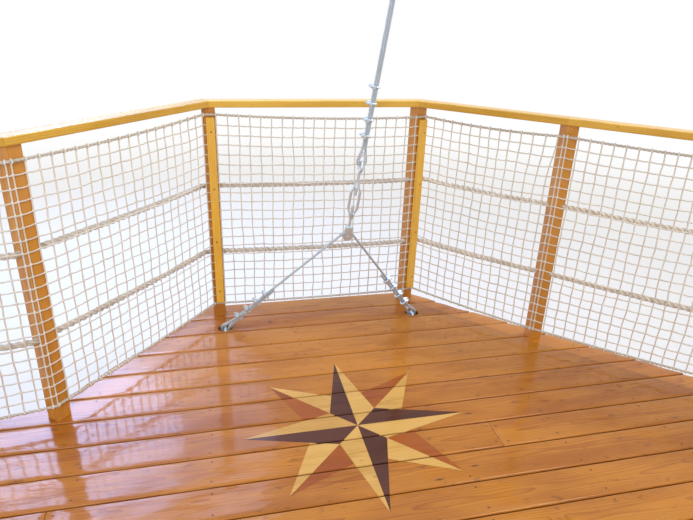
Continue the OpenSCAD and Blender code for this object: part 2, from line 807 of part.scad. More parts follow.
// Body: two bosses joined by a flat forging that widens over its shoulders to two side bars
module turnbuckle_body() {
    half_w = buckle_w / 2;
    forging = four_way([
        [boss_land, boss_d / 2 - boss_land], [boss_l, boss_wide_d / 2], [buckle_shoulder, half_w]
    ], buckle_l);
    opening = four_way([
        [boss_l - boss_land, boss_d / 2 - boss_land], [buckle_shoulder, half_w - buckle_bar]
    ], buckle_l);
    color(steel_colour) on_line(sheave_at, stay_way) translate([buckle_start, 0, 0]) difference() {
        union() {
            for (end = [0, 1]) translate([end * buckle_l, 0, 0]) mirror([end, 0, 0])
                rotate([0, 90, 0]) cylinder(d1 = boss_d, d2 = boss_wide_d, h = boss_l);
            translate([0, 0, -buckle_bar / 2]) linear_extrude(buckle_bar) difference() {
                polygon(forging);
                polygon(opening);
            }
        }
        disc(-boss_l, buckle_l + 2 * boss_l, screw_d + 2 * bore_room, 48);
    }
}

module turnbuckle_eye() {
    tip = buckle_start + buckle_l - screw_in;
    color(steel_colour) on_line(stay_foot, stay_way) eye(screw_d, buckle_reach - tip);
}

// Stay
stay_crown = stay_foot + stay_shift * dir(stay_way);
anchor_crown = anchor_at - stay_shift * dir(stay_way);
stay_tail = stay_clip_first + (clip_n - 1) * stay_clip_pitch + stay_tail_past;

module stay_rope() {
    lower = set_out(rope_end(stay_tail), stay_crown, stay_way, 1);
    upper = set_out(rope_end(bridle_tail), anchor_crown, stay_way + 180, -1);
    color(steel_colour) in_stay_plane() swept(concat(lower, backwards(upper)), wire_section);
}

module stay_thimbles() {
    color(steel_colour) {
        thimble(stay_crown, stay_way);
        thimble(anchor_crown, stay_way + 180);
    }
}

module stay_clips() {
    color(steel_colour) {
        clips(stay_crown, stay_way, 1, stay_clip_first, stay_clip_pitch);
        clips(anchor_crown, stay_way + 180, -1, clip_first, clip_pitch);
    }
}

module anchor_eye_bolt() {
    collar_x = 2 * eye_r + eye_rod_d / 2;
    collar_t = 6;
    color(steel_colour) on_line(anchor_at, stay_way) rotate([0, 180, 0]) {
        eye(anchor_shank_d, collar_x + collar_t + anchor_shank_l);
        disc(-collar_x - collar_t, collar_t, 1.8 * anchor_shank_d, 48);
    }
}

deck_floor();
star_dark();
star_brown();
star_pale();
house_ledger();
rim_beams();
joists();
front_bearer();
post_wall_left();
post_wing_left();
post_left();
post_front_left();
post_front_right();
post_right();
post_wing_right();
post_wall_right();
handrail_left_return();
handrail_left_wing();
handrail_left();
handrail_front();
handrail_right();
handrail_right_wing();
handrail_right_return();
net_left_return();
net_left_wing();
net_left();
net_front();
net_right();
net_right_wing();
net_right_return();
net_battens();
upper_guard_rope();
lower_guard_rope();
foot_eye_bolts();
bridle_rope();
bridle_thimbles();
bridle_clips();
bridle_sheave();
turnbuckle_fork();
turnbuckle_body();
turnbuckle_eye();
stay_rope();
stay_thimbles();
stay_clips();
anchor_eye_bolt();
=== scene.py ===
"""Looks of the tree house terrace: boards and star, nets and laid ropes, wire rope stay and finishes."""
import math

import bpy
import numpy as np
from mathutils import Matrix, Vector, noise


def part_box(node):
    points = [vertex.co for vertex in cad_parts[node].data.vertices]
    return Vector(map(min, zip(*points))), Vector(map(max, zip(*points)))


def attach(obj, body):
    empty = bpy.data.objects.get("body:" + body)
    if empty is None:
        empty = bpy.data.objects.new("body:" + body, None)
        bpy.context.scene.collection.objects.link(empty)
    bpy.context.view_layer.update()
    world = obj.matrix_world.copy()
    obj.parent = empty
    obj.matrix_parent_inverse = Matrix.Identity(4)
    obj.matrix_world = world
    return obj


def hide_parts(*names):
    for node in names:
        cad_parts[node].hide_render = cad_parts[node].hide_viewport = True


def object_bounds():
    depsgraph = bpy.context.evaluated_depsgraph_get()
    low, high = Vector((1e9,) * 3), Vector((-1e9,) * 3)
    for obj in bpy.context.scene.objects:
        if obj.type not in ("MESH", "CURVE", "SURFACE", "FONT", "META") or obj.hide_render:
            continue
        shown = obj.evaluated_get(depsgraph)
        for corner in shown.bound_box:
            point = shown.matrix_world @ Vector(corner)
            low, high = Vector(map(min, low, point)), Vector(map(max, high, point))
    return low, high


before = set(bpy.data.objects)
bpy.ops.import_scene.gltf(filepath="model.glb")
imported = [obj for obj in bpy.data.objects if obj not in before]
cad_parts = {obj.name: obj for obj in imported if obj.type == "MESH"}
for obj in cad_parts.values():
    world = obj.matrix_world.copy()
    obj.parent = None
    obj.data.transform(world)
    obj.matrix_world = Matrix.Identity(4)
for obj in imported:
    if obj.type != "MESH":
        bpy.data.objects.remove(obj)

cad_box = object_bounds()
SEED = 7
draw = np.random.default_rng(SEED)
noise.seed_set(SEED)

# Plan, from the centre of the star: the driving dimensions of the terrace, in metres and degrees
FRONT_BAY = 1.0
LEFT_BAY = 0.98
RIGHT_BAY = 0.71
WING_BAY = 1.0
LEFT_TURN = 50
RIGHT_TURN = 45
WING_TURN = 11
FRONT_REACH = 0.985
REAR_REACH = 0.95
LEFT_REACH = 0.493
STAR = Vector((0, REAR_REACH))

# Deck
DECK_OUT = 0.11
DECK_TOP = 0.098
DECK_T = 0.028
BOARD_PITCH = 0.146
FIRST_BOARD = -6
FINAL_BOARD = 7
GROOVE = 0.005
BOARD_ROUND = 0.005
JOIST_PITCH = 0.44
JOIST_SHIFT = -0.12
FOOT_HOLE_R = 0.036

# Star
STAR_R = 0.441
STAR_SMALL_R = 0.438
STAR_NOTCH_R = 0.13
STAR_FOOT = 0.112
INLAY_GAP = 0.00025

# Railing and net
POST_W = 0.06
BATTEN_W = 0.038
BATTEN_T = 0.02
BATTEN_MARGIN = 0.006
BATTEN_STEP = 0.008
NET_TOP = 1.012
NET_BOTTOM = 0.075
NET_EDGE = 0.008
MESH_W = 0.05
MESH_H = 0.044
CORD_D = 0.005
CORD_BACK = 0.001
BORDER_D = 0.012
SEAT = 0.0002

# Guard ropes
ROPE_D = 0.026
ROPE_HEIGHTS = {"upper_guard_rope": 0.69, "lower_guard_rope": 0.35}
ROPE_PAST = 0.012

# Stay
WIRE_D = 0.012
STAY_LEAN = math.radians(6)
BRIDLE_IN = 0.135
FEET = [Vector((-0.472, 0)), Vector((0.512, 0))]
SHEAVE_AT = Vector((0.128, 0.483))
ANCHOR_AT = Vector((0.416, 2.9))
SHEAVE_R = 0.024
THIMBLE_BORE = 0.024
THIMBLE_WALL = 0.002
THIMBLE_L = 0.06
EYE_R = 0.024
EYE_ROD_D = 0.014
BUCKLE_REACH = 0.376
BRIDLE_TAIL = 0.313
STAY_TAIL = 0.936


def direction(degrees):
    return Vector((math.cos(math.radians(degrees)), math.sin(math.radians(degrees))))


def way(a, b):
    return math.degrees(math.atan2(b[1] - a[1], b[0] - a[0]))


def wrapped(angle):
    return (angle + 180) % 360 - 180


def plan_points():
    """The points where the net bends, from its left end at the wall to its right end."""
    front_left = Vector((-LEFT_REACH, FRONT_REACH))
    front_right = front_left + FRONT_BAY * direction(0)
    left_corner = front_left - LEFT_BAY * direction(LEFT_TURN)
    left_wing = left_corner - WING_BAY * direction(WING_TURN)
    right_corner = front_right + RIGHT_BAY * direction(-RIGHT_TURN)
    right_wing = right_corner + WING_BAY * direction(-RIGHT_TURN)
    points = [
        Vector((left_wing.x, -REAR_REACH)), left_wing, left_corner, front_left,
        front_right, right_corner, right_wing, Vector((right_wing.x, -REAR_REACH)),
    ]
    return [p + STAR for p in points]


PLAN = plan_points()
LAST = len(PLAN) - 1
FRONT_LEFT_POST = 3
ON_FACE = [True, True, False, True, False, False, True, True]
HAS_BATTEN = [True, True, False, True, True, False, True, True]
TAB_REACH = BATTEN_W / 2 + BATTEN_MARGIN


def bay_way(i):
    return way(PLAN[i], PLAN[i + 1])


def corner_aim(i):
    return bay_way(i - 1) + wrapped(bay_way(i) - bay_way(i - 1)) / 2 - 90


POST_AIM = [
    0, corner_aim(1), way(PLAN[2], PLAN[3] - Vector((TAB_REACH, 0))) - 135, -90,
    corner_aim(4), -90 - RIGHT_TURN, corner_aim(6), 180,
]


def face_way(i):
    return POST_AIM[i] + (0 if ON_FACE[i] else 45) + 90


def batten_middle(i):
    return 0 if ON_FACE[i] else BATTEN_STEP + BATTEN_W / 2


def post_contact(i):
    """The point of the plan where a post's face or ridge meets the net."""
    if i == 0:
        return Vector((net_in(1).x, POST_W / 2))
    if i == LAST:
        return Vector((net_out(LAST - 1).x, POST_W / 2))
    return PLAN[i]


def net_in(i):
    reach = TAB_REACH if HAS_BATTEN[i] and ON_FACE[i] else 0
    return post_contact(i) - reach * direction(face_way(i))


def net_out(i):
    reach = batten_middle(i) + TAB_REACH if HAS_BATTEN[i] else 0
    return post_contact(i) + reach * direction(face_way(i))


def post_centre(i):
    depth = POST_W * (0.5 if ON_FACE[i] else math.sqrt(0.5))
    return post_contact(i) - depth * direction(POST_AIM[i])


def moved(i, d):
    """The plan's point moved outwards by d, with a mitred corner."""
    if i in (0, LAST):
        return PLAN[i] + d * direction(bay_way(0 if i == 0 else LAST - 1) + 90)
    turn = wrapped(bay_way(i) - bay_way(i - 1))
    return PLAN[i] + d / math.cos(math.radians(turn / 2)) * direction(bay_way(i - 1) + turn / 2 + 90)


# Objects and meshes
def new_object(name, data):
    made = bpy.data.objects.new(name, data)
    bpy.context.scene.collection.objects.link(made)
    return made


class Shape:
    """Collects the points, faces, texture coordinates and tones of one piece."""

    def __init__(self):
        self.points = []
        self.faces = []
        self.grain = []
        self.tone = []
        self.count = 0

    def add(self, points, faces, grain=None, tone=(0.5, 0.5)):
        points = np.asarray(points, float).reshape(-1, 3)
        if isinstance(faces, np.ndarray):
            faces = (faces + self.count).tolist()
        else:
            faces = [[self.count + k for k in face] for face in faces]
        corners = sum(len(face) for face in faces)
        self.points.append(points)
        self.faces.extend(faces)
        grain = np.zeros((corners, 2)) if grain is None else grain
        self.grain.append(np.asarray(grain, float).reshape(-1, 2))
        self.tone.append(np.tile(tone, (corners, 1)) if np.ndim(tone) == 1 else np.asarray(tone, float))
        self.count += len(points)

    def build(self, name, material, smooth=True):
        mesh = bpy.data.meshes.new(name)
        mesh.from_pydata(np.vstack(self.points).tolist(), [], self.faces)
        for layer_name, values in (("grain", self.grain), ("tone", self.tone)):
            layer = mesh.uv_layers.new(name=layer_name)
            layer.data.foreach_set("uv", np.vstack(values).astype(np.float32).ravel())
        mesh.materials.append(material)
        if smooth:
            mesh.shade_smooth()
        mesh.update()
        return new_object(name, mesh)


def placed(piece, slot, *nodes):
    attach(piece, "root")
    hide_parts(*nodes)
    return piece


def sharpened(piece, degrees):
    """Keeps edges that turn by more than this sharp while the rest shades smooth."""
    piece.data.set_sharp_from_angle(angle=math.radians(degrees))
    return piece


def wander(points, size, seed):
    """Smooth noise at points, about -1 to 1, whose waves are about size long."""
    shift = Vector((seed * 17.3, seed * 5.1, seed * 9.7))
    return np.array([noise.noise_vector(Vector(p) / size + shift) for p in np.atleast_2d(points)])


def wander_at(x, y, seed):
    return noise.noise(Vector((x, y, seed * 7.7)))


def grain_start(reach, side):
    """A random place in the wood that a piece's grain starts from."""
    return draw.uniform(0, reach), draw.uniform(-side, side)


def hang(at, start, end):
    """How far a rope hangs at a place between two ends, as a share of its sag."""
    t = np.clip((at - start) / (end - start), 0, 1)
    return 4 * t * (1 - t)


def lengths_along(path):
    return np.concatenate([[0], np.cumsum(np.linalg.norm(np.diff(path, axis=0), axis=1))])


def resampled(path, step):
    """Points at even steps along a path."""
    path = np.asarray(path, float)
    along = lengths_along(path)
    count = max(int(round(along[-1] / step)), 1)
    at = np.linspace(0, along[-1], count + 1)
    return np.stack([np.interp(at, along, path[:, k]) for k in range(path.shape[1])], axis=1)


def smoothed(path, rounds):
    path = np.asarray(path, float)
    for _ in range(rounds):
        middle = (path[:-2] + 2 * path[1:-1] + path[2:]) / 4
        path = np.vstack([path[:1], middle, path[-1:]])
    return path


def frames_along(path):
    """Sides and tops of a path's rings, turned as little as possible from one to the next."""
    step = np.diff(path, axis=0)
    step /= np.linalg.norm(step, axis=1)[:, None]
    ways = np.vstack([step[:1], step[:-1] + step[1:], step[-1:]])
    ways /= np.linalg.norm(ways, axis=1)[:, None]
    start = np.array([0.0, 0.0, 1.0]) if abs(ways[0][2]) < 0.9 else np.array([1.0, 0.0, 0.0])
    tops = []
    for ahead in ways:
        top = start - (start @ ahead) * ahead
        start = top / np.linalg.norm(top)
        tops.append(start)
    tops = np.array(tops)
    return np.cross(tops, ways), tops


def strand_radius(angle, strands, groove):
    """Radius, as a share of the rope's, of a ring of tangent strands at an angle."""
    half = math.pi / strands
    strand = math.sin(half) / (1 + math.sin(half))
    reach = 1 - strand
    off = (angle + half) % (2 * half) - half
    inside = np.maximum(strand**2 - (reach * np.sin(off)) ** 2, 0)
    return np.maximum(reach * np.cos(off) + np.sqrt(inside), groove)


def ring_quads(rings, sides, closed=False):
    """Faces between rings of points that follow each other."""
    k, j = np.meshgrid(np.arange(rings if closed else rings - 1), np.arange(sides), indexing="ij")
    k2, j2 = (k + 1) % rings, (j + 1) % sides
    return np.stack([k * sides + j, k * sides + j2, k2 * sides + j2, k2 * sides + j], axis=-1).reshape(-1, 4)


def tube_faces(rings, sides):
    """Faces of a closed tube: those between its rings, then its two ends."""
    ends = [list(range(sides - 1, -1, -1)), list(range((rings - 1) * sides, rings * sides))]
    return ring_quads(rings, sides).tolist() + ends


def add_tube(shape, path, radius, sides, strands=0, lay=1.0, groove=0.7):
    """A closed tube, round or with strands that its points turn with. Its grain runs round and along it."""
    path = np.asarray(path, float)
    rights, tops = frames_along(path)
    along = lengths_along(path)
    n = len(path)
    flat = np.arange(sides) * 2 * math.pi / sides
    turns = along / lay if strands else 0 * along
    angles = flat + 2 * math.pi * turns[:, None]
    size = np.broadcast_to(np.asarray(radius, float).reshape(-1, 1), (n, sides)).copy()
    if strands:
        size *= strand_radius(flat, strands, groove)
    rings = (
        path[:, None, :]
        + (size * np.cos(angles))[:, :, None] * rights[:, None, :]
        + (size * np.sin(angles))[:, :, None] * tops[:, None, :]
    )
    k, j = np.meshgrid(np.arange(n - 1), np.arange(sides), indexing="ij")
    round_it = np.stack([j, j + 1, j + 1, j], axis=-1) / sides
    round_it = round_it + np.stack([turns[k], turns[k], turns[k + 1], turns[k + 1]], axis=-1)
    along_it = np.stack([along[k], along[k], along[k + 1], along[k + 1]], axis=-1)
    grain = np.stack([round_it, along_it], axis=-1).reshape(-1, 2)
    shape.add(rings, tube_faces(n, sides), np.vstack([grain, np.zeros((2 * sides, 2))]))


def torus(major, minor, around, sides):
    """Points and faces of a ring that lies in the plane of x and y."""
    a = np.arange(around) * 2 * math.pi / around
    b = np.arange(sides) * 2 * math.pi / sides
    reach = major + minor * np.cos(b)
    points = np.stack([
        np.outer(np.cos(a), reach), np.outer(np.sin(a), reach), np.tile(minor * np.sin(b), (around, 1)),
    ], axis=-1)
    return points.reshape(-1, 3), ring_quads(around, sides, closed=True)[:, [0, 3, 2, 1]]


def scatter(shape, points, faces, spots, bases):
    """Copies of a small form, each with its own centre and its own three axes."""
    points = np.asarray(points)
    copies = np.einsum("pk,nkx->npx", points, np.asarray(bases)) + np.asarray(spots)[:, None, :]
    shift = (np.arange(len(copies)) * len(points))[:, None, None]
    sizes = {len(face) for face in faces}
    if len(sizes) == 1:
        shape.add(copies, (np.asarray(faces)[None] + shift).reshape(-1, sizes.pop()))
    else:
        shape.add(copies, [[k + s * len(points) for k in face] for s in range(len(copies)) for face in faces])


def lathe(profile, sides):
    """Points and faces of a closed form turned about z. Its profile of (radius, height) starts below."""
    turns = np.arange(sides) * 2 * math.pi / sides
    points = [(radius * math.cos(t), radius * math.sin(t), z) for radius, z in profile for t in turns]
    return points, tube_faces(len(profile), sides)


# Materials
class Nodes:
    """Short calls that add nodes to a tree."""

    def __init__(self, tree):
        self.tree = tree

    def put(self, socket, value):
        if isinstance(value, bpy.types.NodeSocket):
            self.tree.links.new(value, socket)
        else:
            socket.default_value = value

    def node(self, kind, *values, **settings):
        made = self.tree.nodes.new("ShaderNode" + kind)
        for key, value in settings.items():
            setattr(made, key, value)
        for socket, value in zip(made.inputs, values):
            self.put(socket, value)
        return made

    def math(self, operation, *values):
        return self.node("Math", *values, operation=operation).outputs[0]

    def times(self, value, factor):
        return self.math("MULTIPLY", value, factor)

    def times_plus(self, value, factor, extra):
        return self.math("MULTIPLY_ADD", value, factor, extra)

    def less(self, value, taken):
        return self.math("SUBTRACT", value, taken)

    def vector(self, operation, *values):
        return self.node("VectorMath", *values, operation=operation).outputs[0]

    def length(self, vector):
        return self.node("VectorMath", vector, operation="LENGTH").outputs["Value"]

    def parts(self, vector):
        return self.node("SeparateXYZ", vector).outputs

    def joined(self, x, y, z):
        return self.node("CombineXYZ", x, y, z).outputs[0]

    def place(self):
        return self.node("TexCoord").outputs["Object"]

    def noise(self, vector, scale, detail=2.0, roughness=0.5):
        """Noise whose scale is a number, or one number for each axis."""
        if isinstance(scale, tuple):
            vector, scale = self.vector("MULTIPLY", vector, scale), 1.0
        made = self.node("TexNoise")
        given = {"Vector": vector, "Scale": scale, "Detail": detail, "Roughness": roughness}
        for name, value in given.items():
            self.put(made.inputs[name], value)
        return made.outputs[0]

    def share(self, value, low, high):
        """0 where value is low, 1 where it is high, smooth between."""
        return self.node("MapRange", value, low, high, interpolation_type="SMOOTHSTEP").outputs[0]

    def mixed(self, share, first, second):
        made = self.node("Mix", data_type="RGBA")
        for socket, value in zip((made.inputs[0], made.inputs[6], made.inputs[7]), (share, first, second)):
            self.put(socket, (*value, 1) if isinstance(value, tuple) else value)
        return made.outputs[2]

    def bump(self, height, distance):
        made = self.node("Bump")
        self.put(made.inputs["Distance"], distance)
        self.put(made.inputs["Height"], height)
        return made.outputs[0]

    def seen(self):
        """1 for what the camera sees, also in a reflection or through glass, and 0 for light."""
        rays = self.node("LightPath").outputs
        shown = self.math("MAXIMUM", rays["Is Camera Ray"], rays["Is Glossy Ray"])
        return self.math("MAXIMUM", shown, rays["Is Transmission Ray"])


class Finish(Nodes):
    """A material with its shader."""

    def __init__(self, name, roughness=0.5, metallic=0.0, coat=0.0):
        self.material = bpy.data.materials.new(name)
        self.material.use_nodes = True
        super().__init__(self.material.node_tree)
        self.shader = self.tree.nodes["Principled BSDF"]
        self.feed("Roughness", roughness)
        self.feed("Metallic", metallic)
        self.feed("Coat Weight", coat)

    def feed(self, name, value):
        self.put(self.shader.inputs[name], value)


def local_place(f, spot, turn, upright):
    """Coordinates of a node that stays: x along its grain, y and z across, from its own middle."""
    turned = f.node("VectorRotate", f.vector("SUBTRACT", f.place(), spot), rotation_type="Z_AXIS")
    f.put(turned.inputs["Angle"], -math.radians(turn))
    x, y, z = f.parts(turned.outputs[0])
    return f.joined(z, x, y) if upright else f.joined(x, y, z)


def carried(f, layer):
    """What a piece made here carries in a layer: its grain's length and width, or its tone."""
    return f.parts(f.node("UVMap", uv_map=layer).outputs[0])


# Wood, with the scales of its noise along the grain and across it
COAT_ROUGHNESS = 0.09
RING_PITCH = 0.0055
HEART_DEPTH = 0.05
KNOT_SCALE = 5.0
KNOT_PULL = 0.012
WARP = 0.03
WARP_SCALE = (1.7, 7.0, 7.0)
FIBRE_SCALE = (9.0, 420.0, 420.0)
BLOTCH_SCALE = (2.2, 9.0, 9.0)
FLECK_SCALE = (28.0, 130.0, 130.0)
SMUDGE_SCALE = (16.0, 30.0, 30.0)
SWELL_SCALE = (7.0, 28.0, 28.0)
# Painted shade in the grooves between the deck boards, together with the brown varnish in them: its colour,
# and how far under the top it fades in.
GROOVE_SHADE_AND_VARNISH = (0.15, 0.042, 0.009)
GROOVE_SHADE_DEPTH = 0.005


def dark_marks(f, marks):
    """How much a spot lies in one of the elongated dark knots that show round the star."""
    ragged = f.noise(f.place(), 260.0)
    total = 0.0
    for x, y, half in marks:
        off = f.vector("MULTIPLY", f.vector("SUBTRACT", f.place(), (x, y, 0.0)), (1 / half, 4 / half, 0.0))
        outside = f.share(f.math("ADD", f.length(off), ragged), 0.9, 1.7)
        total = f.math("MAXIMUM", f.less(1.0, outside), total)
    return total


def wood(
    name, pale, deep, knot, place=None, knots=0.1, roughness=0.45, coat=0.5, ring_show=0.6, smudges=0.0,
    shade_below=None, marks=(),
):
    """Sawn wood with growth rings, fibres, blotches and knots, and lacquer where coat is over 0. Below a
    given height, painted shade and brown varnish darken it, for the grooves between boards.
    """
    f = Finish(name, coat=coat)
    f.feed("Coat Roughness", COAT_ROUGHNESS)
    f.feed("Specular IOR Level", 0.15 if coat else 0.4)
    if place is None:
        x, y, _ = carried(f, "grain")
        spot, tone = f.joined(x, y, 0.0), carried(f, "tone")[0]
    else:
        spot, tone = local_place(f, *place), f.node("ObjectInfo").outputs["Random"]
    _, y, z = f.parts(spot)

    cells = f.node("TexVoronoi", spot, feature="F1")
    f.put(cells.inputs["Scale"], KNOT_SCALE)
    chosen = f.math("LESS_THAN", f.parts(cells.outputs["Color"])[0], knots)
    away = cells.outputs["Distance"]
    knot_core = f.times(chosen, f.less(1.0, f.share(away, 0.035, 0.06)))
    knot_pull = f.times(chosen, f.less(1.0, f.share(away, 0.02, 0.3)))

    radius = f.length(f.joined(0.0, y, f.math("ADD", z, HEART_DEPTH)))
    radius = f.times_plus(f.noise(spot, WARP_SCALE), WARP, radius)
    radius = f.times_plus(knot_pull, KNOT_PULL, radius)
    ring = f.math("POWER", f.math("FRACT", f.math("DIVIDE", radius, RING_PITCH)), 3.0)

    fibre = f.noise(spot, FIBRE_SCALE)
    blotch = f.noise(spot, BLOTCH_SCALE, 3.0, 0.6)
    deepness = f.times_plus(f.share(blotch, 0.35, 0.7), 0.45, f.times(ring, ring_show))
    deepness = f.times_plus(f.less(fibre, 0.5), 0.55, deepness)
    deepness = f.times_plus(f.less(tone, 0.5), 0.6, deepness)
    colour = f.mixed(f.node("Clamp", deepness).outputs[0], pale, deep)
    flecks = f.share(f.noise(spot, FLECK_SCALE, 3.0), 0.66, 0.78)
    colour = f.mixed(f.times(flecks, 0.55), colour, knot)
    if smudges:
        smudge = f.share(f.noise(spot, SMUDGE_SCALE, 3.0), 0.6, 0.74)
        colour = f.mixed(f.times(smudge, smudges), colour, knot)
    colour = f.mixed(f.times(knot_core, 0.85), colour, knot)
    if marks:
        colour = f.mixed(f.times(dark_marks(f, marks), 0.8), colour, knot)
    # Painted shade, with brown varnish: below the deck's top, on the boards' sides down in the grooves, the
    # colour turns dark brown.
    if shade_below is not None:
        unshaded = f.share(f.parts(f.place())[2], shade_below - GROOVE_SHADE_DEPTH, shade_below)
        colour = f.mixed(unshaded, GROOVE_SHADE_AND_VARNISH, colour)
    f.feed("Base Color", colour)
    f.feed("Roughness", f.times_plus(blotch, 0.2, roughness - 0.1))

    relief = f.math("ADD", f.times(ring, 0.4), f.times(fibre, 0.6))
    f.feed("Normal", f.bump(relief, 0.0004 if coat else 0.0012))
    if coat:
        swell = f.noise(spot, SWELL_SCALE)
        f.feed("Coat Normal", f.bump(f.times_plus(fibre, 0.05, swell), 0.0012))
    return f.material


# Cord, steel and small fasteners
def cord_finish(name, pale, deep, strands, lay, scale):
    """Twisted cord: its stripes follow the texture coordinates round and along it. The stripes are painted
    shade, darker in the grooves between the strands.
    """
    f = Finish(name, roughness=0.85)
    turn, along, _ = carried(f, "grain")
    twist = f.times(f.less(turn, f.math("DIVIDE", along, lay)), strands * 2 * math.pi)
    crown = f.times_plus(f.math("COSINE", twist), 0.5, 0.5)
    fibre = f.noise(f.place(), scale, 3.0, 0.6)
    dirt = f.noise(f.place(), 9.0, 3.0, 0.6)
    # Painted shade: darker in the grooves between the strands, away from their crowns; the fibre and dirt
    # noise add real tone.
    deepness = f.times_plus(f.less(1.0, crown), 0.35, f.times(fibre, 0.3))
    deepness = f.times_plus(f.share(dirt, 0.4, 0.75), 0.35, deepness)
    f.feed("Base Color", f.mixed(f.node("Clamp", deepness).outputs[0], pale, deep))
    f.feed("Sheen Weight", 0.3)
    f.feed("Sheen Roughness", 0.5)
    f.feed("Normal", f.bump(f.times_plus(fibre, 0.4, crown), 0.0006))
    return f.material


STEEL_PALE = (0.80, 0.87, 0.93)
STEEL_DEEP = (0.52, 0.60, 0.67)


def steel_finish(name, stripes=0):
    """Hot-dip galvanised steel: pale spangle, slightly uneven. Wire rope adds its single wires."""
    f = Finish(name, metallic=0.65)
    spangle = f.node("TexVoronoi", f.place(), feature="F1")
    f.put(spangle.inputs["Scale"], 260.0)
    flake = f.parts(spangle.outputs["Color"])[0]
    cloud = f.noise(f.place(), 30.0, 3.0, 0.6)
    f.feed("Base Color", f.mixed(f.times_plus(flake, 0.5, f.times(cloud, 0.6)), STEEL_PALE, STEEL_DEEP))
    f.feed("Roughness", f.times_plus(cloud, 0.25, 0.22))
    height = f.noise(f.place(), 900.0)
    if stripes:
        turn, along, _ = carried(f, "grain")
        wires = f.math("SINE", f.times(f.times_plus(along, 4.0, turn), stripes * 2 * math.pi))
        height = f.times_plus(wires, 0.6, height)
    f.feed("Normal", f.bump(height, 0.0004 if stripes else 0.0002))
    return f.material


def plain_finish(name, colour, roughness, metallic):
    f = Finish(name, roughness, metallic)
    grime = f.noise(f.place(), 700.0)
    f.feed("Base Color", f.mixed(grime, colour, tuple(0.6 * c for c in colour)))
    f.feed("Normal", f.bump(grime, 0.0003))
    return f.material


DECK_PALE = (0.54, 0.200, 0.019)
DECK_DEEP = (0.28, 0.068, 0.006)
DECK_KNOT = (0.06, 0.025, 0.015)
DECK_MARKS = (
    (0.46, 0.937, 0.018),
    (0.36, 0.656, 0.018),
    (-0.12, 0.639, 0.008),
    (0.21, 0.617, 0.020),
    (-0.25, 0.853, 0.008),
)
deck_finish = wood(
    "deck_lacquer", DECK_PALE, DECK_DEEP, DECK_KNOT, ring_show=0.5, smudges=0.4,
    shade_below=DECK_TOP - 0.003, marks=DECK_MARKS,
)
INLAY_WOODS = {
    "dark": ((0.095, 0.020, 0.007), (0.040, 0.008, 0.004), DECK_KNOT),
    "brown": ((0.38, 0.090, 0.006), (0.23, 0.044, 0.003), DECK_KNOT),
    "pale": ((0.70, 0.40, 0.10), (0.46, 0.22, 0.04), DECK_KNOT),
}
BATTEN_KNOT = (0.30, 0.12, 0.03)
batten_finish = wood("batten_lacquer", (0.90, 0.53, 0.070), (0.68, 0.32, 0.028), BATTEN_KNOT, knots=0.04)
net_finish = cord_finish("net_cord", (0.92, 0.88, 0.78), (0.64, 0.56, 0.44), 3, 0.016, 900.0)
border_finish = cord_finish("border_rope", (0.72, 0.67, 0.58), (0.44, 0.38, 0.30), 3, 0.05, 500.0)
rope_finish = cord_finish("guard_rope", (0.80, 0.73, 0.62), (0.48, 0.41, 0.32), 3, 0.085, 420.0)
galvanised = steel_finish("galvanised")
wire_finish = steel_finish("wire_rope", stripes=42)
screw_finish = plain_finish("dark_screws", (0.12, 0.045, 0.014), 0.45, 0.3)
# The staples' dark colour is painted shadow, where the net's cords pass under the battens beside them.
staple_shadow_finish = plain_finish("staples_painted_shadow", (0.16, 0.11, 0.07), 0.5, 0.7)


# Deck boards, each cut to the deck's outline with a wavy end
EDGE_WAVE = 0.010
WAVE_SLOW = 7
WAVE_QUICK = 21
CALM_WAVE = 0.4
EDGE_STEPS = (0, 30, 60, 90)
EASED_EDGE = [(1 - math.cos(math.radians(a)), 1 - math.sin(math.radians(a))) for a in EDGE_STEPS]
EDGE_WEAR = 0.45
FLAT_ROWS = 7
BOARD_STATION = 0.045
END_INSETS = ((0.0, 0.0022), (0.0009, 0.0006), (0.003, 0.0))
BUTT_GAP = 0.0008
BUTT_JOINTS = {-2: -1.07, -1: 0.516}
STAR_CALM = 0.5
SHARP_TURN = 50


def board_span(k):
    low = STAR.y + (k - 0.5) * BOARD_PITCH
    high = low + BOARD_PITCH
    return max(low, 0) + GROOVE / 2, high - (GROOVE / 2 if k < FINAL_BOARD else 0)


OUTLINE = [moved(i, DECK_OUT) for i in range(LAST + 1)]


def edge_at(y, side):
    """The deck's straight edge on one side at a depth y from the wall."""
    half = OUTLINE[:FRONT_LEFT_POST + 1] if side < 0 else OUTLINE[:FRONT_LEFT_POST:-1]
    for a, b in zip(half, half[1:]):
        if a.y <= y <= b.y and b.y > a.y:
            return a.x + (b.x - a.x) * (y - a.y) / (b.y - a.y)
    return half[-1].x if y > half[-1].y else half[0].x


def wavy_edge_at(y, side, k):
    """The edge as it was sawn by hand, a little inside the straight one and different from board to board."""
    wave = wander_at(y * WAVE_SLOW, side * 3.3, 1)
    wave += 1.1 * wander_at(y * WAVE_QUICK, side * 5.3 + k * 1.37, 2)
    sawn = wander_at(k * 3.31, side * 2.17, 8)
    steep = 1.0 if PLAN[1].y < y < PLAN[FRONT_LEFT_POST].y else CALM_WAVE
    return edge_at(y, side) - side * EDGE_WAVE * steep * max(1 + wave + sawn, 0)


def edge_round(x, edge):
    """Radius of a board's eased edge, worn and chipped unevenly, but even beside the star."""
    calm = min(max(abs(x) / STAR_CALM - 1, 0), 1)
    return BOARD_ROUND * (1 + EDGE_WEAR * calm * wander_at(x * 9, edge, 3))


def board_stations(length):
    """Places along a board: the share of its length, how far its ends lie in there, and the top's drop."""
    between = np.linspace(0, 1, int(length / BOARD_STATION) + 1)[1:-1]
    stations = [(0, inset_by, drop) for inset_by, drop in END_INSETS]
    stations += [(t, END_INSETS[-1][0], 0.0) for t in between]
    return stations + [(1, inset_by, drop) for inset_by, drop in reversed(END_INSETS)]


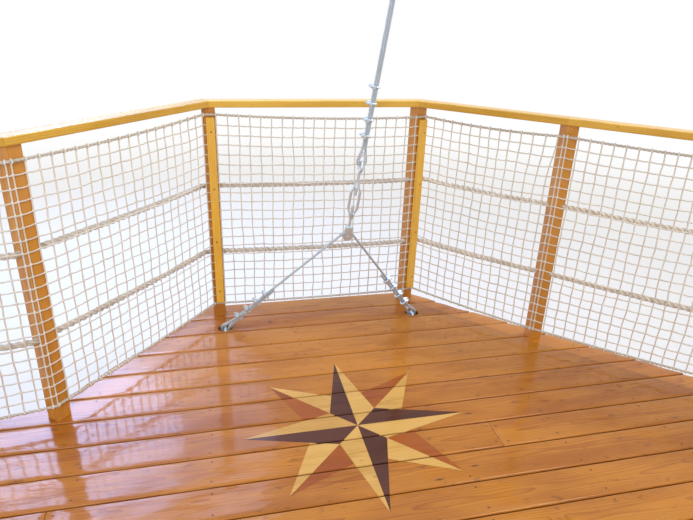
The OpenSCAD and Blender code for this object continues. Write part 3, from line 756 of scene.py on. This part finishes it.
def board_rows(k):
    """Rows of points across a board's top: where the row starts, which way it is eased, and how much."""
    low, high = board_span(k)
    rows = [(low, 1, depth, drop) for depth, drop in EASED_EDGE]
    rows += [(y, 0, 0, 0) for y in np.linspace(low + BOARD_ROUND, high - BOARD_ROUND, FLAT_ROWS + 2)[1:-1]]
    return rows + [(high, -1, depth, drop) for depth, drop in reversed(EASED_EDGE)]


def board(k, left_at, right_at, name):
    """A board with eased long edges and rounded ends, between two edges that depend on y."""
    marks = grain_start(40, 0.03)
    tone = (draw.uniform(0, 1), draw.uniform(0, 1))
    middle = STAR.y + k * BOARD_PITCH
    stations = board_stations(right_at(middle) - left_at(middle))
    points, grain = [], []
    for t, inset_by, end_drop in stations:
        row = []
        for y, inward, depth, drop in board_rows(k):
            left, right = left_at(y) + inset_by, right_at(y) - inset_by
            x = left + (right - left) * t
            radius = edge_round(x, k if inward > 0 else k + 0.5)
            row.append((x, y + inward * radius * depth, DECK_TOP - radius * drop - end_drop))
        points += row + [(x, y, DECK_TOP - DECK_T) for x, y, _ in reversed(row)]
        grain += [(x + marks[0], y - middle + marks[1]) for x, y, _ in row + row[::-1]]
    n, m = len(stations), len(points) // len(stations)
    faces = ring_quads(n, m)[:, [0, 3, 2, 1]].tolist()
    for start, turned in ((0, False), ((n - 1) * m, True)):
        for j in range(m // 2 - 1):
            face = [start + j, start + j + 1, start + m - 2 - j, start + m - 1 - j]
            faces.append(face[::-1] if turned else face)
    shape = Shape()
    shape.add(points, faces, [grain[i] for face in faces for i in face], tone)
    return placed(sharpened(shape.build(name, deck_finish), SHARP_TURN), "deck_wood", "deck_floor")


def cut_holes(piece, holes):
    """Cuts the round holes of the bridle feet through a board."""
    points, faces = [], []
    for hole in holes:
        rim, walls = lathe([(FOOT_HOLE_R, DECK_TOP - 2 * DECK_T), (FOOT_HOLE_R, DECK_TOP + DECK_T)], 48)
        faces += [[k + len(points) for k in wall] for wall in walls]
        points += [(x + hole.x, y + hole.y, z) for x, y, z in rim]
    mesh = bpy.data.meshes.new("holes")
    mesh.from_pydata(points, [], faces)
    tool = new_object("holes", mesh)
    modifier = piece.modifiers.new("holes", "BOOLEAN")
    modifier.operation = "DIFFERENCE"
    modifier.solver = "EXACT"
    modifier.object = tool
    bpy.context.view_layer.update()
    cut = bpy.data.meshes.new_from_object(piece.evaluated_get(bpy.context.evaluated_depsgraph_get()))
    piece.modifiers.clear()
    piece.data = cut
    bpy.data.objects.remove(tool)
    sharpened(piece, SHARP_TURN)


FOOT_Y = STAR.y + FRONT_REACH - BRIDLE_IN
FOOT_HOLES = [Vector((foot.x, FOOT_Y)) for foot in FEET]

for k in range(FIRST_BOARD, FINAL_BOARD + 1):
    number = k - FIRST_BOARD + 1
    left_edge = lambda y, k=k: wavy_edge_at(y, -1, k)
    right_edge = lambda y, k=k: wavy_edge_at(y, 1, k)
    if k in BUTT_JOINTS:
        cut = BUTT_JOINTS[k]
        board(k, left_edge, lambda y, cut=cut: cut - BUTT_GAP, f"deck_board_{number}_left")
        board(k, lambda y, cut=cut: cut + BUTT_GAP, right_edge, f"deck_board_{number}_right")
    else:
        whole = board(k, left_edge, right_edge, f"deck_board_{number}")
        low, high = board_span(k)
        if low < FOOT_Y < high:
            cut_holes(whole, FOOT_HOLES)

# Screws of the deck: two on each joist and each board, and a pair on both sides of a butt joint
SCREW_IN = 0.024
SCREW_R = 0.0042
SCREW_CLEAR = 0.02
FOOT_CLEAR = 0.05
BUTT_SCREW = 0.02
BUTT_CLEAR = 0.09
SCREW_PROFILE = [
    (SCREW_R * 0.8, -0.004), (SCREW_R, -0.0006), (SCREW_R * 0.96, 0.0002), (SCREW_R * 0.36, 0.0002),
    (SCREW_R * 0.26, -0.0018),
]


def deck_screws():
    spots = []
    for k in range(FIRST_BOARD, FINAL_BOARD + 1):
        low, high = board_span(k)
        joists = [JOIST_SHIFT + JOIST_PITCH * n for n in range(-4, 5)]
        cut = BUTT_JOINTS.get(k)
        if cut is not None:
            joists = [x for x in joists if abs(x - cut) > BUTT_CLEAR] + [cut - BUTT_SCREW, cut + BUTT_SCREW]
        for x in joists:
            for y in (low + SCREW_IN, high - SCREW_IN):
                spot = Vector((x + draw.normal(0, 0.004), y + draw.normal(0, 0.003)))
                left, right = wavy_edge_at(y, -1, k) + SCREW_CLEAR, wavy_edge_at(y, 1, k) - SCREW_CLEAR
                off_feet = all((spot - hole).length >= FOOT_CLEAR for hole in FOOT_HOLES)
                if left < spot.x < right and off_feet and (spot - STAR).length > STAR_R + SCREW_CLEAR:
                    spots.append((*spot, DECK_TOP))
    shape = Shape()
    scatter(shape, *lathe(SCREW_PROFILE, 10), spots, [np.eye(3)] * len(spots))
    placed(sharpened(shape.build("deck_screws", screw_finish), 40), "galvanised_steel", "deck_floor")


deck_screws()

# Star: each half follows the boards' eased edges, a little proud of them, with its grain along the boards
INLAY_PROUD = 0.0003
INLAY_DEPTH = 0.0012


def inset(points, d):
    """A convex outline drawn anticlockwise, with every edge moved inwards by d."""
    result = []
    for i, point in enumerate(points):
        sides = [(point - points[i - 1]).normalized(), (points[(i + 1) % len(points)] - point).normalized()]
        before, after = (Vector((-s.y, s.x)) for s in sides)
        result.append(point + d * (before + after) / (1 + before.dot(after)))
    return result


def clipped(points, axis, low, high):
    """The part of a convex outline between two values of x (axis 0) or y (axis 1)."""
    for sign, limit in ((1, low), (-1, -high)):
        kept = []
        for i, b in enumerate(points):
            a = points[i - 1]
            da, db = sign * a[axis] - limit, sign * b[axis] - limit
            if (da > 0) != (db > 0) and da != db:
                kept.append(a + (b - a) * (da / (da - db)))
            if db > 0:
                kept.append(b)
        points = kept
        if len(points) < 3:
            return []
    return points


def star_halves():
    """The colour and outline of each half of the star's points."""
    halves = []
    for a in range(0, 360, 90):
        for side in (1, -1):
            main = ((0, 0), STAR_R * direction(a), STAR_NOTCH_R * direction(a + 45 * side))
            halves.append(("dark" if side > 0 else "pale", side, *main))
            b = a + 45
            notch = STAR_NOTCH_R * direction(b)
            edge = (STAR_R * direction(b + 45 * side) - notch).normalized()
            small = (notch, STAR_SMALL_R * direction(b), notch + STAR_FOOT * edge)
            halves.append(("brown" if side > 0 else "pale", side, *small))
    for colour, side, *outline in halves:
        start, tip, foot = (Vector(p) for p in outline)
        turning = [start, tip, foot] if side > 0 else [start, foot, tip]
        yield colour, [STAR + p for p in inset(turning, INLAY_GAP)]


def inlay_lines(k):
    """Lines along a board between which its top is nearly flat, each with its drop below the deck."""
    low, high = board_span(k)
    near = [(low + BOARD_ROUND * depth, BOARD_ROUND * drop) for depth, drop in EASED_EDGE]
    return near + [(high - BOARD_ROUND * depth, BOARD_ROUND * drop) for depth, drop in reversed(EASED_EDGE)]


def inlay(colour, finish):
    """The halves of one colour, each a thin plate that drops into the grooves between the boards."""
    shape = Shape()
    for half_colour, outline in star_halves():
        if half_colour != colour:
            continue
        points, index, tops, board_of, marks = [], {}, [], [], {}
        for k in range(-4, 5):
            marks[k] = (*grain_start(30, 0.03), draw.uniform(0.1, 0.9))
            lines = inlay_lines(k)
            for (y0, drop0), (y1, drop1) in zip(lines, lines[1:]):
                face = []
                for p in clipped(outline, 1, y0, y1):
                    key = (round(p.x, 6), round(p.y, 6))
                    if key not in index:
                        share = min(max((p.y - y0) / (y1 - y0), 0), 1)
                        index[key] = len(points)
                        points.append((p.x, p.y, DECK_TOP + INLAY_PROUD - drop0 - (drop1 - drop0) * share))
                    if index[key] not in face:
                        face.append(index[key])
                if len(face) > 2:
                    tops.append(face)
                    board_of.append(k)
        n = len(points)
        edges = {(face[i - 1], face[i]): k for face, k in zip(tops, board_of) for i in range(len(face))}
        rim = sorted((p, q, k) for (p, q), k in edges.items() if (q, p) not in edges)
        faces = tops + [[v + n for v in reversed(face)] for face in tops]
        faces += [[q, p, p + n, q + n] for p, q, _ in rim]
        board_of = board_of * 2 + [k for _, _, k in rim]
        points += [(x, y, z - INLAY_DEPTH) for x, y, z in points]
        grain, tone = [], []
        for face, k in zip(faces, board_of):
            middle = STAR.y + k * BOARD_PITCH
            grain += [(points[v][0] + marks[k][0], points[v][1] - middle + marks[k][1]) for v in face]
            tone += [(marks[k][2], 0.5)] * len(face)
        shape.add(points, faces, grain, tone)
    node = "star_" + colour
    placed(shape.build(node + "_pieces", finish, smooth=False), colour + "_inlay", node)


for inlay_colour, inlay_wood in INLAY_WOODS.items():
    inlay(inlay_colour, wood(inlay_colour + "_inlay_lacquer", *inlay_wood, knots=0))

# Net: one path from wall to wall, bending beside the battens, with knotted cords between border ropes
CORD_DEPTH = CORD_BACK + CORD_D / 2
BORDER_DEPTH = SEAT + BORDER_D / 2
BORDER_RISE = {FRONT_LEFT_POST: 0.018}
BORDER_SAG = 0.012
LOWER_SAG = 0.005
BEND_ROUND = 0.006
SCALLOP = 0.0035
NET_WANDER = 0.0065
NET_BILLOW = 0.005
CORD_SWELL = 0.0004
GATHER = 0.035
GATHER_SPAN = 0.15
GATHER_DEPTH = 0.13
LOWER_DROP = {5: 0.012}
GATHER_TIP = 0.03
NET_HELD = 0.08
NET_WAVES = (0.22, 0.055)
QUICK_WAVE = 0.8
CORD_STEPS = 4
CORD_SIDES = 6
KNOT_MAJOR = 0.0032
KNOT_MINOR = 0.0028
KNOT_LONG = 1.1
KNOT_FLAT = 0.837
TIE_MAJOR = BORDER_D / 2 + CORD_D / 2 - 0.001
TIE_FLAT = 0.82
BORDER_STEP = 0.0045
UP = np.array([0, 0, 1.0])


def net_way(i):
    return way(net_out(i), net_in(i + 1))


def turns_out(i):
    return HAS_BATTEN[i] and abs(wrapped(net_way(i) - face_way(i))) > 0.01


def net_path():
    """The net's line in plan and, for each post, how far along it the net reaches and leaves the post."""
    path, reached, left = [], [], []
    for i in range(LAST + 1):
        spots = [Vector((post_contact(i).x, 0))] if i in (0, LAST) else [net_in(i)]
        if i not in (0, LAST) and turns_out(i):
            spots.append(net_out(i))
        start = len(path)
        path += spots
        along = lengths_along([tuple(p) for p in path]) if len(path) > 1 else [0]
        reached.append(along[start])
        if i == 0:
            left.append((net_out(0) - spots[0]).length)
        else:
            left.append(along[start] + (net_out(i) - net_in(i)).length)
        if i == LAST:
            reached[i] = along[start] - (net_in(LAST) - spots[0]).length
    return np.array([tuple(p) for p in path]), reached, left


NET_PATH, NET_REACHED, NET_LEFT = net_path()
NET_ALONG = lengths_along(NET_PATH)


def net_points(s, depth, z):
    """Points s along the net, depth inwards from the posts, z over the deck."""
    s, depth, z = np.broadcast_arrays(np.asarray(s, float), depth, z)
    step = np.diff(NET_PATH, axis=0)
    step /= np.linalg.norm(step, axis=1)[:, None]
    inward = np.stack([step[:, 1], -step[:, 0]], axis=1)
    spot = np.stack([np.interp(s, NET_ALONG, NET_PATH[:, k]) for k in (0, 1)], axis=-1)
    facing = np.zeros(s.shape + (2,))
    for side in (-BEND_ROUND, BEND_ROUND):
        at = np.clip(np.searchsorted(NET_ALONG, s + side) - 1, 0, len(step) - 1)
        facing += inward[at]
    facing /= np.linalg.norm(facing, axis=-1)[..., None]
    spot = spot + depth[..., None] * facing
    return np.stack([spot[..., 0], spot[..., 1], DECK_TOP + z], axis=-1)


def border_heights(s):
    """Heights of the lower and the upper border rope along the net: they sag between the posts."""
    s = np.asarray(s, float)
    knots_s, rises, drops = [], [], []
    for i in range(LAST + 1):
        knots_s += [NET_REACHED[i], NET_LEFT[i] + 1e-6]
        rises += [BORDER_RISE.get(i, 0.0)] * 2
        drops += [LOWER_DROP.get(i, 0.0)] * 2
    sag = np.zeros(s.shape)
    for i in range(LAST):
        sag += hang(s, NET_LEFT[i], NET_REACHED[i + 1])
    upper = NET_TOP + np.interp(s, knots_s, rises) - BORDER_SAG * sag
    return NET_BOTTOM - np.interp(s, knots_s, drops) - LOWER_SAG * sag, upper


def net_axes(s):
    """The ways along the net and inwards from it at a place on it."""
    ahead = net_points(s + 0.001, 0.0, 0.0) - net_points(s - 0.001, 0.0, 0.0)
    ahead /= np.linalg.norm(ahead)
    return ahead, np.array([ahead[1], -ahead[0], 0.0])


def gathered(s, finish, below_top):
    """How far the net is pulled towards a post that has no batten, near the post's top."""
    near = np.exp(-(((finish - s) / GATHER_SPAN) ** 2)) * np.clip((finish - s) / GATHER_TIP, 0, 1)
    near = near * np.clip((finish - s) / (2 * GATHER), 0, 1)
    return GATHER * near[:, None] * np.exp(-((below_top / GATHER_DEPTH) ** 2))


def net(i, name, node):
    """A bay of net: its cords, the knots where they cross, and the ties round the border ropes."""
    start, finish = NET_LEFT[i], NET_REACHED[i + 1]
    columns = round((finish - start) / MESH_W)
    rows = round((NET_TOP - NET_BOTTOM) / MESH_H)
    s = np.concatenate([
        [0 if i == 0 else NET_REACHED[i]],
        start + NET_EDGE + (finish - start - 2 * NET_EDGE) * np.arange(columns + 1) / columns,
        [NET_ALONG[-1] if i == LAST - 1 else finish],
    ])
    free = np.clip(np.minimum(s - start, finish - s) / NET_HELD, 0, 1)
    lower, upper = border_heights(s)
    r = np.arange(rows + 1) / rows
    heights = lower[:, None] + (upper - lower)[:, None] * r[None, :]
    edge = np.minimum(np.minimum(r, 1 - r) * 12, 1)
    flat = np.stack([np.repeat(s, rows + 1), heights.ravel(), np.full(heights.size, i * 3.0)], axis=1)
    slow, quick = (wander(flat, size, seed) for size, seed in zip(NET_WAVES, (4, 5)))
    drift = ((slow + QUICK_WAVE * quick) * NET_WANDER).reshape(len(s), rows + 1, 3)
    drift *= (free[:, None] * edge[None, :])[:, :, None]
    along = s[:, None] + drift[:, :, 0]
    if not HAS_BATTEN[i + 1]:
        along += gathered(s, finish, upper[:, None] - heights)
    up = heights + drift[:, :, 1]
    depth = CORD_DEPTH + np.maximum(drift[:, :, 2] / NET_WANDER * NET_BILLOW, -0.001)

    shape = Shape()
    inside = range(1, len(s) - 1)
    for c in inside:
        t = np.linspace(0, rows, rows * CORD_STEPS + 1)
        cord = [np.interp(t, np.arange(rows + 1), v[c]) for v in (along, depth, up)]
        add_tube(shape, smoothed(net_points(*cord), 1), CORD_D / 2 + CORD_SWELL * free[c], CORD_SIDES)
    for row in range(1, rows):
        t = np.linspace(0, len(s) - 1, (len(s) - 1) * CORD_STEPS + 1)
        cord = [np.interp(t, np.arange(len(s)), v[:, row]) for v in (along, depth, up)]
        cord[2] = cord[2] - SCALLOP * np.sin(math.pi * (t % 1)) ** 2
        swell = CORD_SWELL * np.interp(t, np.arange(len(s)), free)
        add_tube(shape, smoothed(net_points(*cord), 1), CORD_D / 2 + swell, CORD_SIDES)

    spots, bases = [], []
    for c in inside:
        ahead, inward = net_axes(s[c])
        for row in range(1, rows):
            tilt = math.radians(45 + draw.normal(0, 14)) * (1 if (c + row) % 2 else -1)
            across = math.cos(tilt) * ahead + math.sin(tilt) * UP
            spots.append(net_points(along[c, row], depth[c, row], up[c, row]))
            bases.append([KNOT_LONG * np.cross(across, inward), KNOT_FLAT * inward, across])
    scatter(shape, *torus(KNOT_MAJOR, KNOT_MINOR, 9, 5), spots, bases)

    spots, bases = [], []
    for c in inside:
        ahead, inward = net_axes(s[c])
        for row, height in ((0, lower[c]), (rows, upper[c])):
            spots.append(net_points(along[c, row], BORDER_DEPTH, height))
            bases.append([TIE_FLAT * inward, UP, ahead + draw.normal(0, 0.12) * UP])
    scatter(shape, *torus(TIE_MAJOR, KNOT_MINOR, 12, 5), spots, bases)
    placed(shape.build(name, net_finish), "net_cord", node)


BAYS = ("left_return", "left_wing", "left", "front", "right", "right_wing", "right_return")
NET_NODES = ["net_" + bay for bay in BAYS]
for bay_number, net_node in enumerate(NET_NODES):
    net(bay_number, net_node + "_cords", net_node)


def net_borders():
    s = resampled(NET_ALONG[:, None], BORDER_STEP)[:, 0]
    for name, height in zip(("net_lower_border", "net_upper_border"), border_heights(s)):
        shape = Shape()
        path = smoothed(net_points(s, BORDER_DEPTH, height), 2)
        add_tube(shape, path, BORDER_D / 2, 12, strands=3, lay=0.05, groove=0.62)
        placed(shape.build(name, border_finish), "net_cord", *NET_NODES)


net_borders()

# Battens with bevelled edges, their screws, and the staples beside them, whose dark colour is painted shadow
# where the cords pass under the battens
BATTEN_BEVEL = 0.002
BATTEN_BOTTOM = NET_BOTTOM + BORDER_D / 2 + BATTEN_MARGIN
BATTEN_SHIFT = {FRONT_LEFT_POST: 0.007}
BATTEN_SCREWS = 4
BATTEN_SCREW_IN = 0.064
STAPLE_D = 0.0014


def battens():
    shape, heads, staples = Shape(), Shape(), Shape()
    screw_spots, screw_bases, staple_spots, staple_bases = [], [], [], []
    w, t, b = BATTEN_W / 2, BATTEN_T, BATTEN_BEVEL
    section = [(-w, 0), (w, 0), (w, t - b), (w - b, t), (b - w, t), (-w, t - b)]
    back = CORD_BACK + CORD_D + SEAT
    for i in range(LAST + 1):
        if not HAS_BATTEN[i]:
            continue
        ahead = direction(face_way(i))
        inward = Vector((ahead.y, -ahead.x))
        middle = post_contact(i) + (batten_middle(i) + BATTEN_SHIFT.get(i, 0)) * ahead
        top = NET_TOP + BORDER_RISE.get(i, 0.0) - BORDER_D / 2 - BATTEN_MARGIN
        levels = [(BATTEN_BOTTOM, 1 - b / w), (BATTEN_BOTTOM + b, 1), (top - b, 1), (top, 1 - b / w)]
        points, grain = [], []
        marks = grain_start(30, 0.02)
        for z, share in levels:
            for x, y in section:
                spot = middle + x * share * ahead + (back + y * (0.5 + share / 2)) * inward
                points.append((spot.x, spot.y, DECK_TOP + z))
                grain.append((z + marks[0], x + y + marks[1]))
        faces = [face[::-1] for face in tube_faces(len(levels), len(section))]
        shape.add(points, faces, [grain[v] for face in faces for v in face], (draw.uniform(0.1, 0.9), 0.5))
        basis = [[ahead.x, ahead.y, 0], [0, 0, 1], [inward.x, inward.y, 0]]
        for z in np.linspace(BATTEN_BOTTOM + BATTEN_SCREW_IN, top - BATTEN_SCREW_IN, BATTEN_SCREWS):
            spot = middle + draw.normal(0, 0.002) * ahead + (back + t) * inward
            screw_spots.append((spot.x, spot.y, DECK_TOP + z))
            screw_bases.append(basis)
        for side in (-1, 1):
            for z in np.arange(NET_BOTTOM + MESH_H, NET_TOP - MESH_H / 2, MESH_H):
                reach = side * (w + BATTEN_MARGIN / 2)
                spot = middle + reach * ahead + (CORD_DEPTH + draw.normal(0, 0.0003)) * inward
                staple_spots.append((spot.x, spot.y, DECK_TOP + z + draw.normal(0, 0.002)))
                staple_bases.append(basis)
    scatter(heads, *lathe(SCREW_PROFILE, 10), screw_spots, screw_bases)
    points, faces = torus(CORD_D / 2 + STAPLE_D, STAPLE_D / 2, 10, 4)
    scatter(staples, points[:, [2, 0, 1]], faces, staple_spots, staple_bases)
    placed(sharpened(shape.build("battens", batten_finish), 25), "batten_wood", "net_battens")
    placed(sharpened(heads.build("batten_screws", screw_finish), 40), "galvanised_steel", "net_battens")
    placed(staples.build("net_staples", staple_shadow_finish), "galvanised_steel", "net_battens")


battens()

# Guard ropes: three strands, straight through the posts, with a little sag between them
ROPE_SAG = 0.006
ROPE_WANDER = 0.002
ROPE_LAY = 0.085
WALL_GAP = 0.0001


def hole_way(i):
    straight = i not in (0, LAST) and abs(bay_way(i) - bay_way(i - 1)) < 0.01
    return bay_way(i) if straight else face_way(i)


def guard_rope(name, height):
    ends = []
    for i in range(LAST + 1):
        for end in (-1, 1):
            at_wall = i == (0 if end < 0 else LAST)
            reach = POST_W / 2 - WALL_GAP if at_wall else POST_W / 2 + ROPE_PAST
            ends.append(post_centre(i) + end * reach * direction(hole_way(i)))
    path = [(spot.x, spot.y, DECK_TOP + height) for spot in ends]
    line = smoothed(resampled(path, 0.006), 4)
    along = lengths_along(line)
    corners = lengths_along(np.asarray(path))
    sag = sum(hang(along, a, b) for a, b in zip(corners[1::2], corners[2::2]))
    line[:, 2] -= ROPE_SAG * sag
    line += wander(line, 0.17, 6) * (ROPE_WANDER * np.minimum(sag, 1))[:, None]
    shape = Shape()
    add_tube(shape, line, ROPE_D / 2, 24, strands=3, lay=ROPE_LAY, groove=0.6)
    placed(shape.build(name + "_strands", rope_finish), "guard_rope", name)


for rope_name, rope_height in ROPE_HEIGHTS.items():
    guard_rope(rope_name, rope_height)

# Wire ropes, in the leaning plane of the stay: x along the boards and y up the plane
WIRE_R = WIRE_D / 2
PAIR_W = WIRE_R + SEAT
THIMBLE_R = THIMBLE_BORE / 2 + THIMBLE_WALL + WIRE_R + SEAT
THIMBLE_HALF = WIRE_R + SEAT + THIMBLE_WALL
THIMBLE_POINT = Vector((THIMBLE_L, PAIR_W))
WIRE_LAY = 0.075
CROWN_STEPS = 24
WIRE_STEP = 0.0045
SHEAVE_STEPS = 12


def in_stay_plane(points):
    lean_y, lean_z = -math.sin(STAY_LEAN), math.cos(STAY_LEAN)
    return np.array([(x, FOOT_Y + y * lean_y, DECK_TOP + y * lean_z) for x, y in points])


def rest_shift(half):
    """How far a thimble's crown lies past the crown of the eye that it rests in."""
    hole = EYE_R - EYE_ROD_D / 2
    return THIMBLE_BORE / 2 - EYE_ROD_D / 2 - SEAT - (hole - math.sqrt(hole**2 - half**2))


def rope_eye(tail):
    """A rope's end turned back round a thimble, from its tail at -PAIR_W to its live part at +PAIR_W."""
    flank = way((0, 0), THIMBLE_POINT) + math.degrees(math.acos(THIMBLE_R / THIMBLE_POINT.length))
    half = [THIMBLE_R * direction(180 - (180 - flank) * k / CROWN_STEPS) for k in range(CROWN_STEPS + 1)]
    half += [THIMBLE_POINT - WIRE_R * direction(flank - 90), THIMBLE_POINT + Vector((WIRE_R, 0))]
    turned = [Vector((p.x, -p.y)) for p in half]
    return [Vector((tail, -PAIR_W))] + turned[::-1] + half[1:]


def set_out(points, start, line_way, side):
    return [start + p.x * direction(line_way) + side * p.y * direction(line_way + 90) for p in points]


def leg(foot):
    """A bridle leg from its tail, round its thimble, to where it meets the sheave."""
    side = 1 if foot.x < SHEAVE_AT.x else -1
    lift = math.asin((SHEAVE_R - PAIR_W) / (SHEAVE_AT - foot).length)
    line = way(foot, SHEAVE_AT) + side * math.degrees(lift)
    crown = foot + rest_shift(THIMBLE_HALF + SEAT + EYE_ROD_D * math.sin(STAY_LEAN)) * direction(line)
    return set_out(rope_eye(BRIDLE_TAIL), crown, line, side), line


def wire_rope(name, node, points):
    path = resampled(in_stay_plane(points), WIRE_STEP)
    shape = Shape()
    add_tube(shape, smoothed(path, 2), WIRE_R, 24, strands=6, lay=WIRE_LAY, groove=0.7)
    placed(shape.build(name, wire_finish), "galvanised_steel", node)


left_leg, left_way = leg(FEET[0])
right_leg, right_way = leg(FEET[1])
over_sheave = [
    SHEAVE_AT + SHEAVE_R * direction(left_way + 90 + (right_way - left_way - 180) * k / SHEAVE_STEPS)
    for k in range(SHEAVE_STEPS + 1)
]
wire_rope("bridle_wire_rope", "bridle_rope", left_leg + over_sheave + right_leg[::-1])

STAY_WAY = way(SHEAVE_AT, ANCHOR_AT)
STAY_SHIFT = rest_shift(THIMBLE_HALF)
stay_crown = SHEAVE_AT + (BUCKLE_REACH + STAY_SHIFT) * direction(STAY_WAY)
anchor_crown = ANCHOR_AT - STAY_SHIFT * direction(STAY_WAY)
lower_end = set_out(rope_eye(STAY_TAIL), stay_crown, STAY_WAY, 1)
upper_end = set_out(rope_eye(BRIDLE_TAIL), anchor_crown, STAY_WAY + 180, -1)
wire_rope("stay_wire_rope", "stay_rope", lower_end + upper_end[::-1])


# CAD nodes that keep their shape
def finish_of(node, material):
    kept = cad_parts[node]
    kept.data.materials.clear()
    kept.data.materials.append(material)


def wooden(node, kind, colours, turn, upright=False, **looks):
    """Gives a node a wood of its own, whose grain runs along it."""
    low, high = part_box(node)
    place = (tuple((low + high) / 2), turn, upright)
    finish_of(node, wood(f"{node}_{kind}", *colours, place, **looks))


RAIL_KNOT = (0.22, 0.07, 0.02)
POST_WOOD = ((0.66, 0.295, 0.050), (0.41, 0.135, 0.017), RAIL_KNOT)
RAIL_WOOD = ((0.84, 0.51, 0.072), (0.57, 0.29, 0.024), RAIL_KNOT)
FRAME_WOOD = ((0.60, 0.38, 0.18), (0.38, 0.21, 0.09), (0.16, 0.08, 0.04))
POSTS = ("wall_left", "wing_left", "left", "front_left", "front_right", "right", "wing_right", "wall_right")
FRAME_TURNS = {"house_ledger": 0, "rim_beams": 0, "joists": 90, "front_bearer": 0}
FITTINGS = (
    "foot_eye_bolts", "bridle_thimbles", "bridle_clips", "bridle_sheave", "turnbuckle_fork",
    "turnbuckle_body", "turnbuckle_eye", "stay_thimbles", "stay_clips", "anchor_eye_bolt",
)
for i, post in enumerate(POSTS):
    wooden("post_" + post, "lacquer", POST_WOOD, face_way(i) - 90, upright=True, knots=0.5)
for i, bay in enumerate(BAYS):
    wooden("handrail_" + bay, "lacquer", RAIL_WOOD, bay_way(i), knots=0.3)
for beam, beam_turn in FRAME_TURNS.items():
    wooden(beam, "sawn", FRAME_WOOD, beam_turn, knots=0.3, roughness=0.75, coat=0.0)
for fitting in FITTINGS:
    finish_of(fitting, galvanised)

# Stage: a pale floor that turns white far from the terrace and doesn't hide it from below
FLOOR_REACH = 150
FLOOR_Z = cad_box[0].z - 0.002
FLOOR_COLOUR = (0.84, 0.81, 0.77)
FLOOR_FADE = (2.5, 9.0)


def stage_floor():
    mesh = bpy.data.meshes.new("floor")
    corners = [(x * FLOOR_REACH, y * FLOOR_REACH, FLOOR_Z) for x, y in ((-1, -1), (1, -1), (1, 1), (-1, 1))]
    mesh.from_pydata(corners, [], [(0, 1, 2, 3)])
    f = Finish("floor", roughness=1.0)
    f.feed("Base Color", (*FLOOR_COLOUR, 1))
    f.feed("Specular IOR Level", 0.0)
    white = f.node("Emission").outputs[0]
    far = f.times(f.times_plus(f.share(f.length(f.place()), *FLOOR_FADE), 0.75, 0.25), f.seen())
    lit = f.node("MixShader", far, f.shader.outputs[0], white).outputs[0]
    under = f.node("NewGeometry").outputs["Backfacing"]
    blend = f.node("MixShader", under, lit, f.node("BsdfTransparent").outputs[0])
    f.put(f.tree.nodes["Material Output"].inputs[0], blend.outputs[0])
    mesh.materials.append(f.material)
    new_object("floor", mesh)


stage_floor()

# Light
WORLD_LIGHT = 0.58
WORLD_COLOUR = (0.95, 0.97, 1, 1)


def studio_world():
    world = bpy.data.worlds.new("studio")
    bpy.context.scene.world = world
    world.use_nodes = True
    n = Nodes(world.node_tree)
    light = n.tree.nodes["Background"]
    n.put(light.inputs["Color"], WORLD_COLOUR)
    n.put(light.inputs["Strength"], WORLD_LIGHT)
    white = n.node("Background", (1, 1, 1, 1)).outputs[0]
    mix = n.node("MixShader", n.seen(), light.outputs[0], white)
    n.put(n.tree.nodes["World Output"].inputs[0], mix.outputs[0])


studio_world()


def soft_light(name, spot, target, size, power, colour=(1, 1, 1), spread=180):
    data = bpy.data.lights.new(name, "AREA")
    data.shape = "DISK"
    data.size = size
    data.energy = power
    data.color = colour
    data.spread = math.radians(spread)
    lamp = new_object(name, data)
    lamp.location = spot
    lamp.rotation_euler = (Vector(target) - Vector(spot)).to_track_quat("-Z", "Y").to_euler()


LIT = (0, 1.2, 0.3)
SHEEN_AT = (-0.9, 1.0, 0.1)
soft_light("key", (3.0, 1.6, 5.2), LIT, 1.6, 110, (1.0, 0.96, 0.90))
soft_light("window", (-2.1, 5.2, 3.5), SHEEN_AT, 2.2, 66, (0.34, 0.52, 1.0), 120)
soft_light("window_haze", (-1.6, 5.6, 3.9), SHEEN_AT, 3.6, 62, (0.45, 0.60, 1.0), 120)
soft_light("fill", (-1.6, -3.4, 3.0), LIT, 2.5, 110)

# Camera at the photograph's place: a turn about the upright, then a pitch down, then a roll
CAMERA_AT = (-0.50808, -0.83075, 1.59192)
CAMERA_HEADING = 13.86
CAMERA_PITCH = 23.25
CAMERA_ROLL = 2.06
CAMERA_LENS = 30.52


def camera():
    data = bpy.data.cameras.new("camera")
    data.lens = CAMERA_LENS
    data.sensor_width = 36
    data.clip_start = 0.05
    data.clip_end = 400
    place = Matrix.Translation(CAMERA_AT)
    for degrees, axis in ((-CAMERA_HEADING, "Z"), (90 - CAMERA_PITCH, "X"), (CAMERA_ROLL, "Z")):
        place = place @ Matrix.Rotation(math.radians(degrees), 4, axis)
    eye = new_object("camera", data)
    eye.matrix_world = place
    bpy.context.scene.camera = eye


camera()
bpy.context.scene.view_settings.view_transform = "Standard"

bpy.context.view_layer.update()
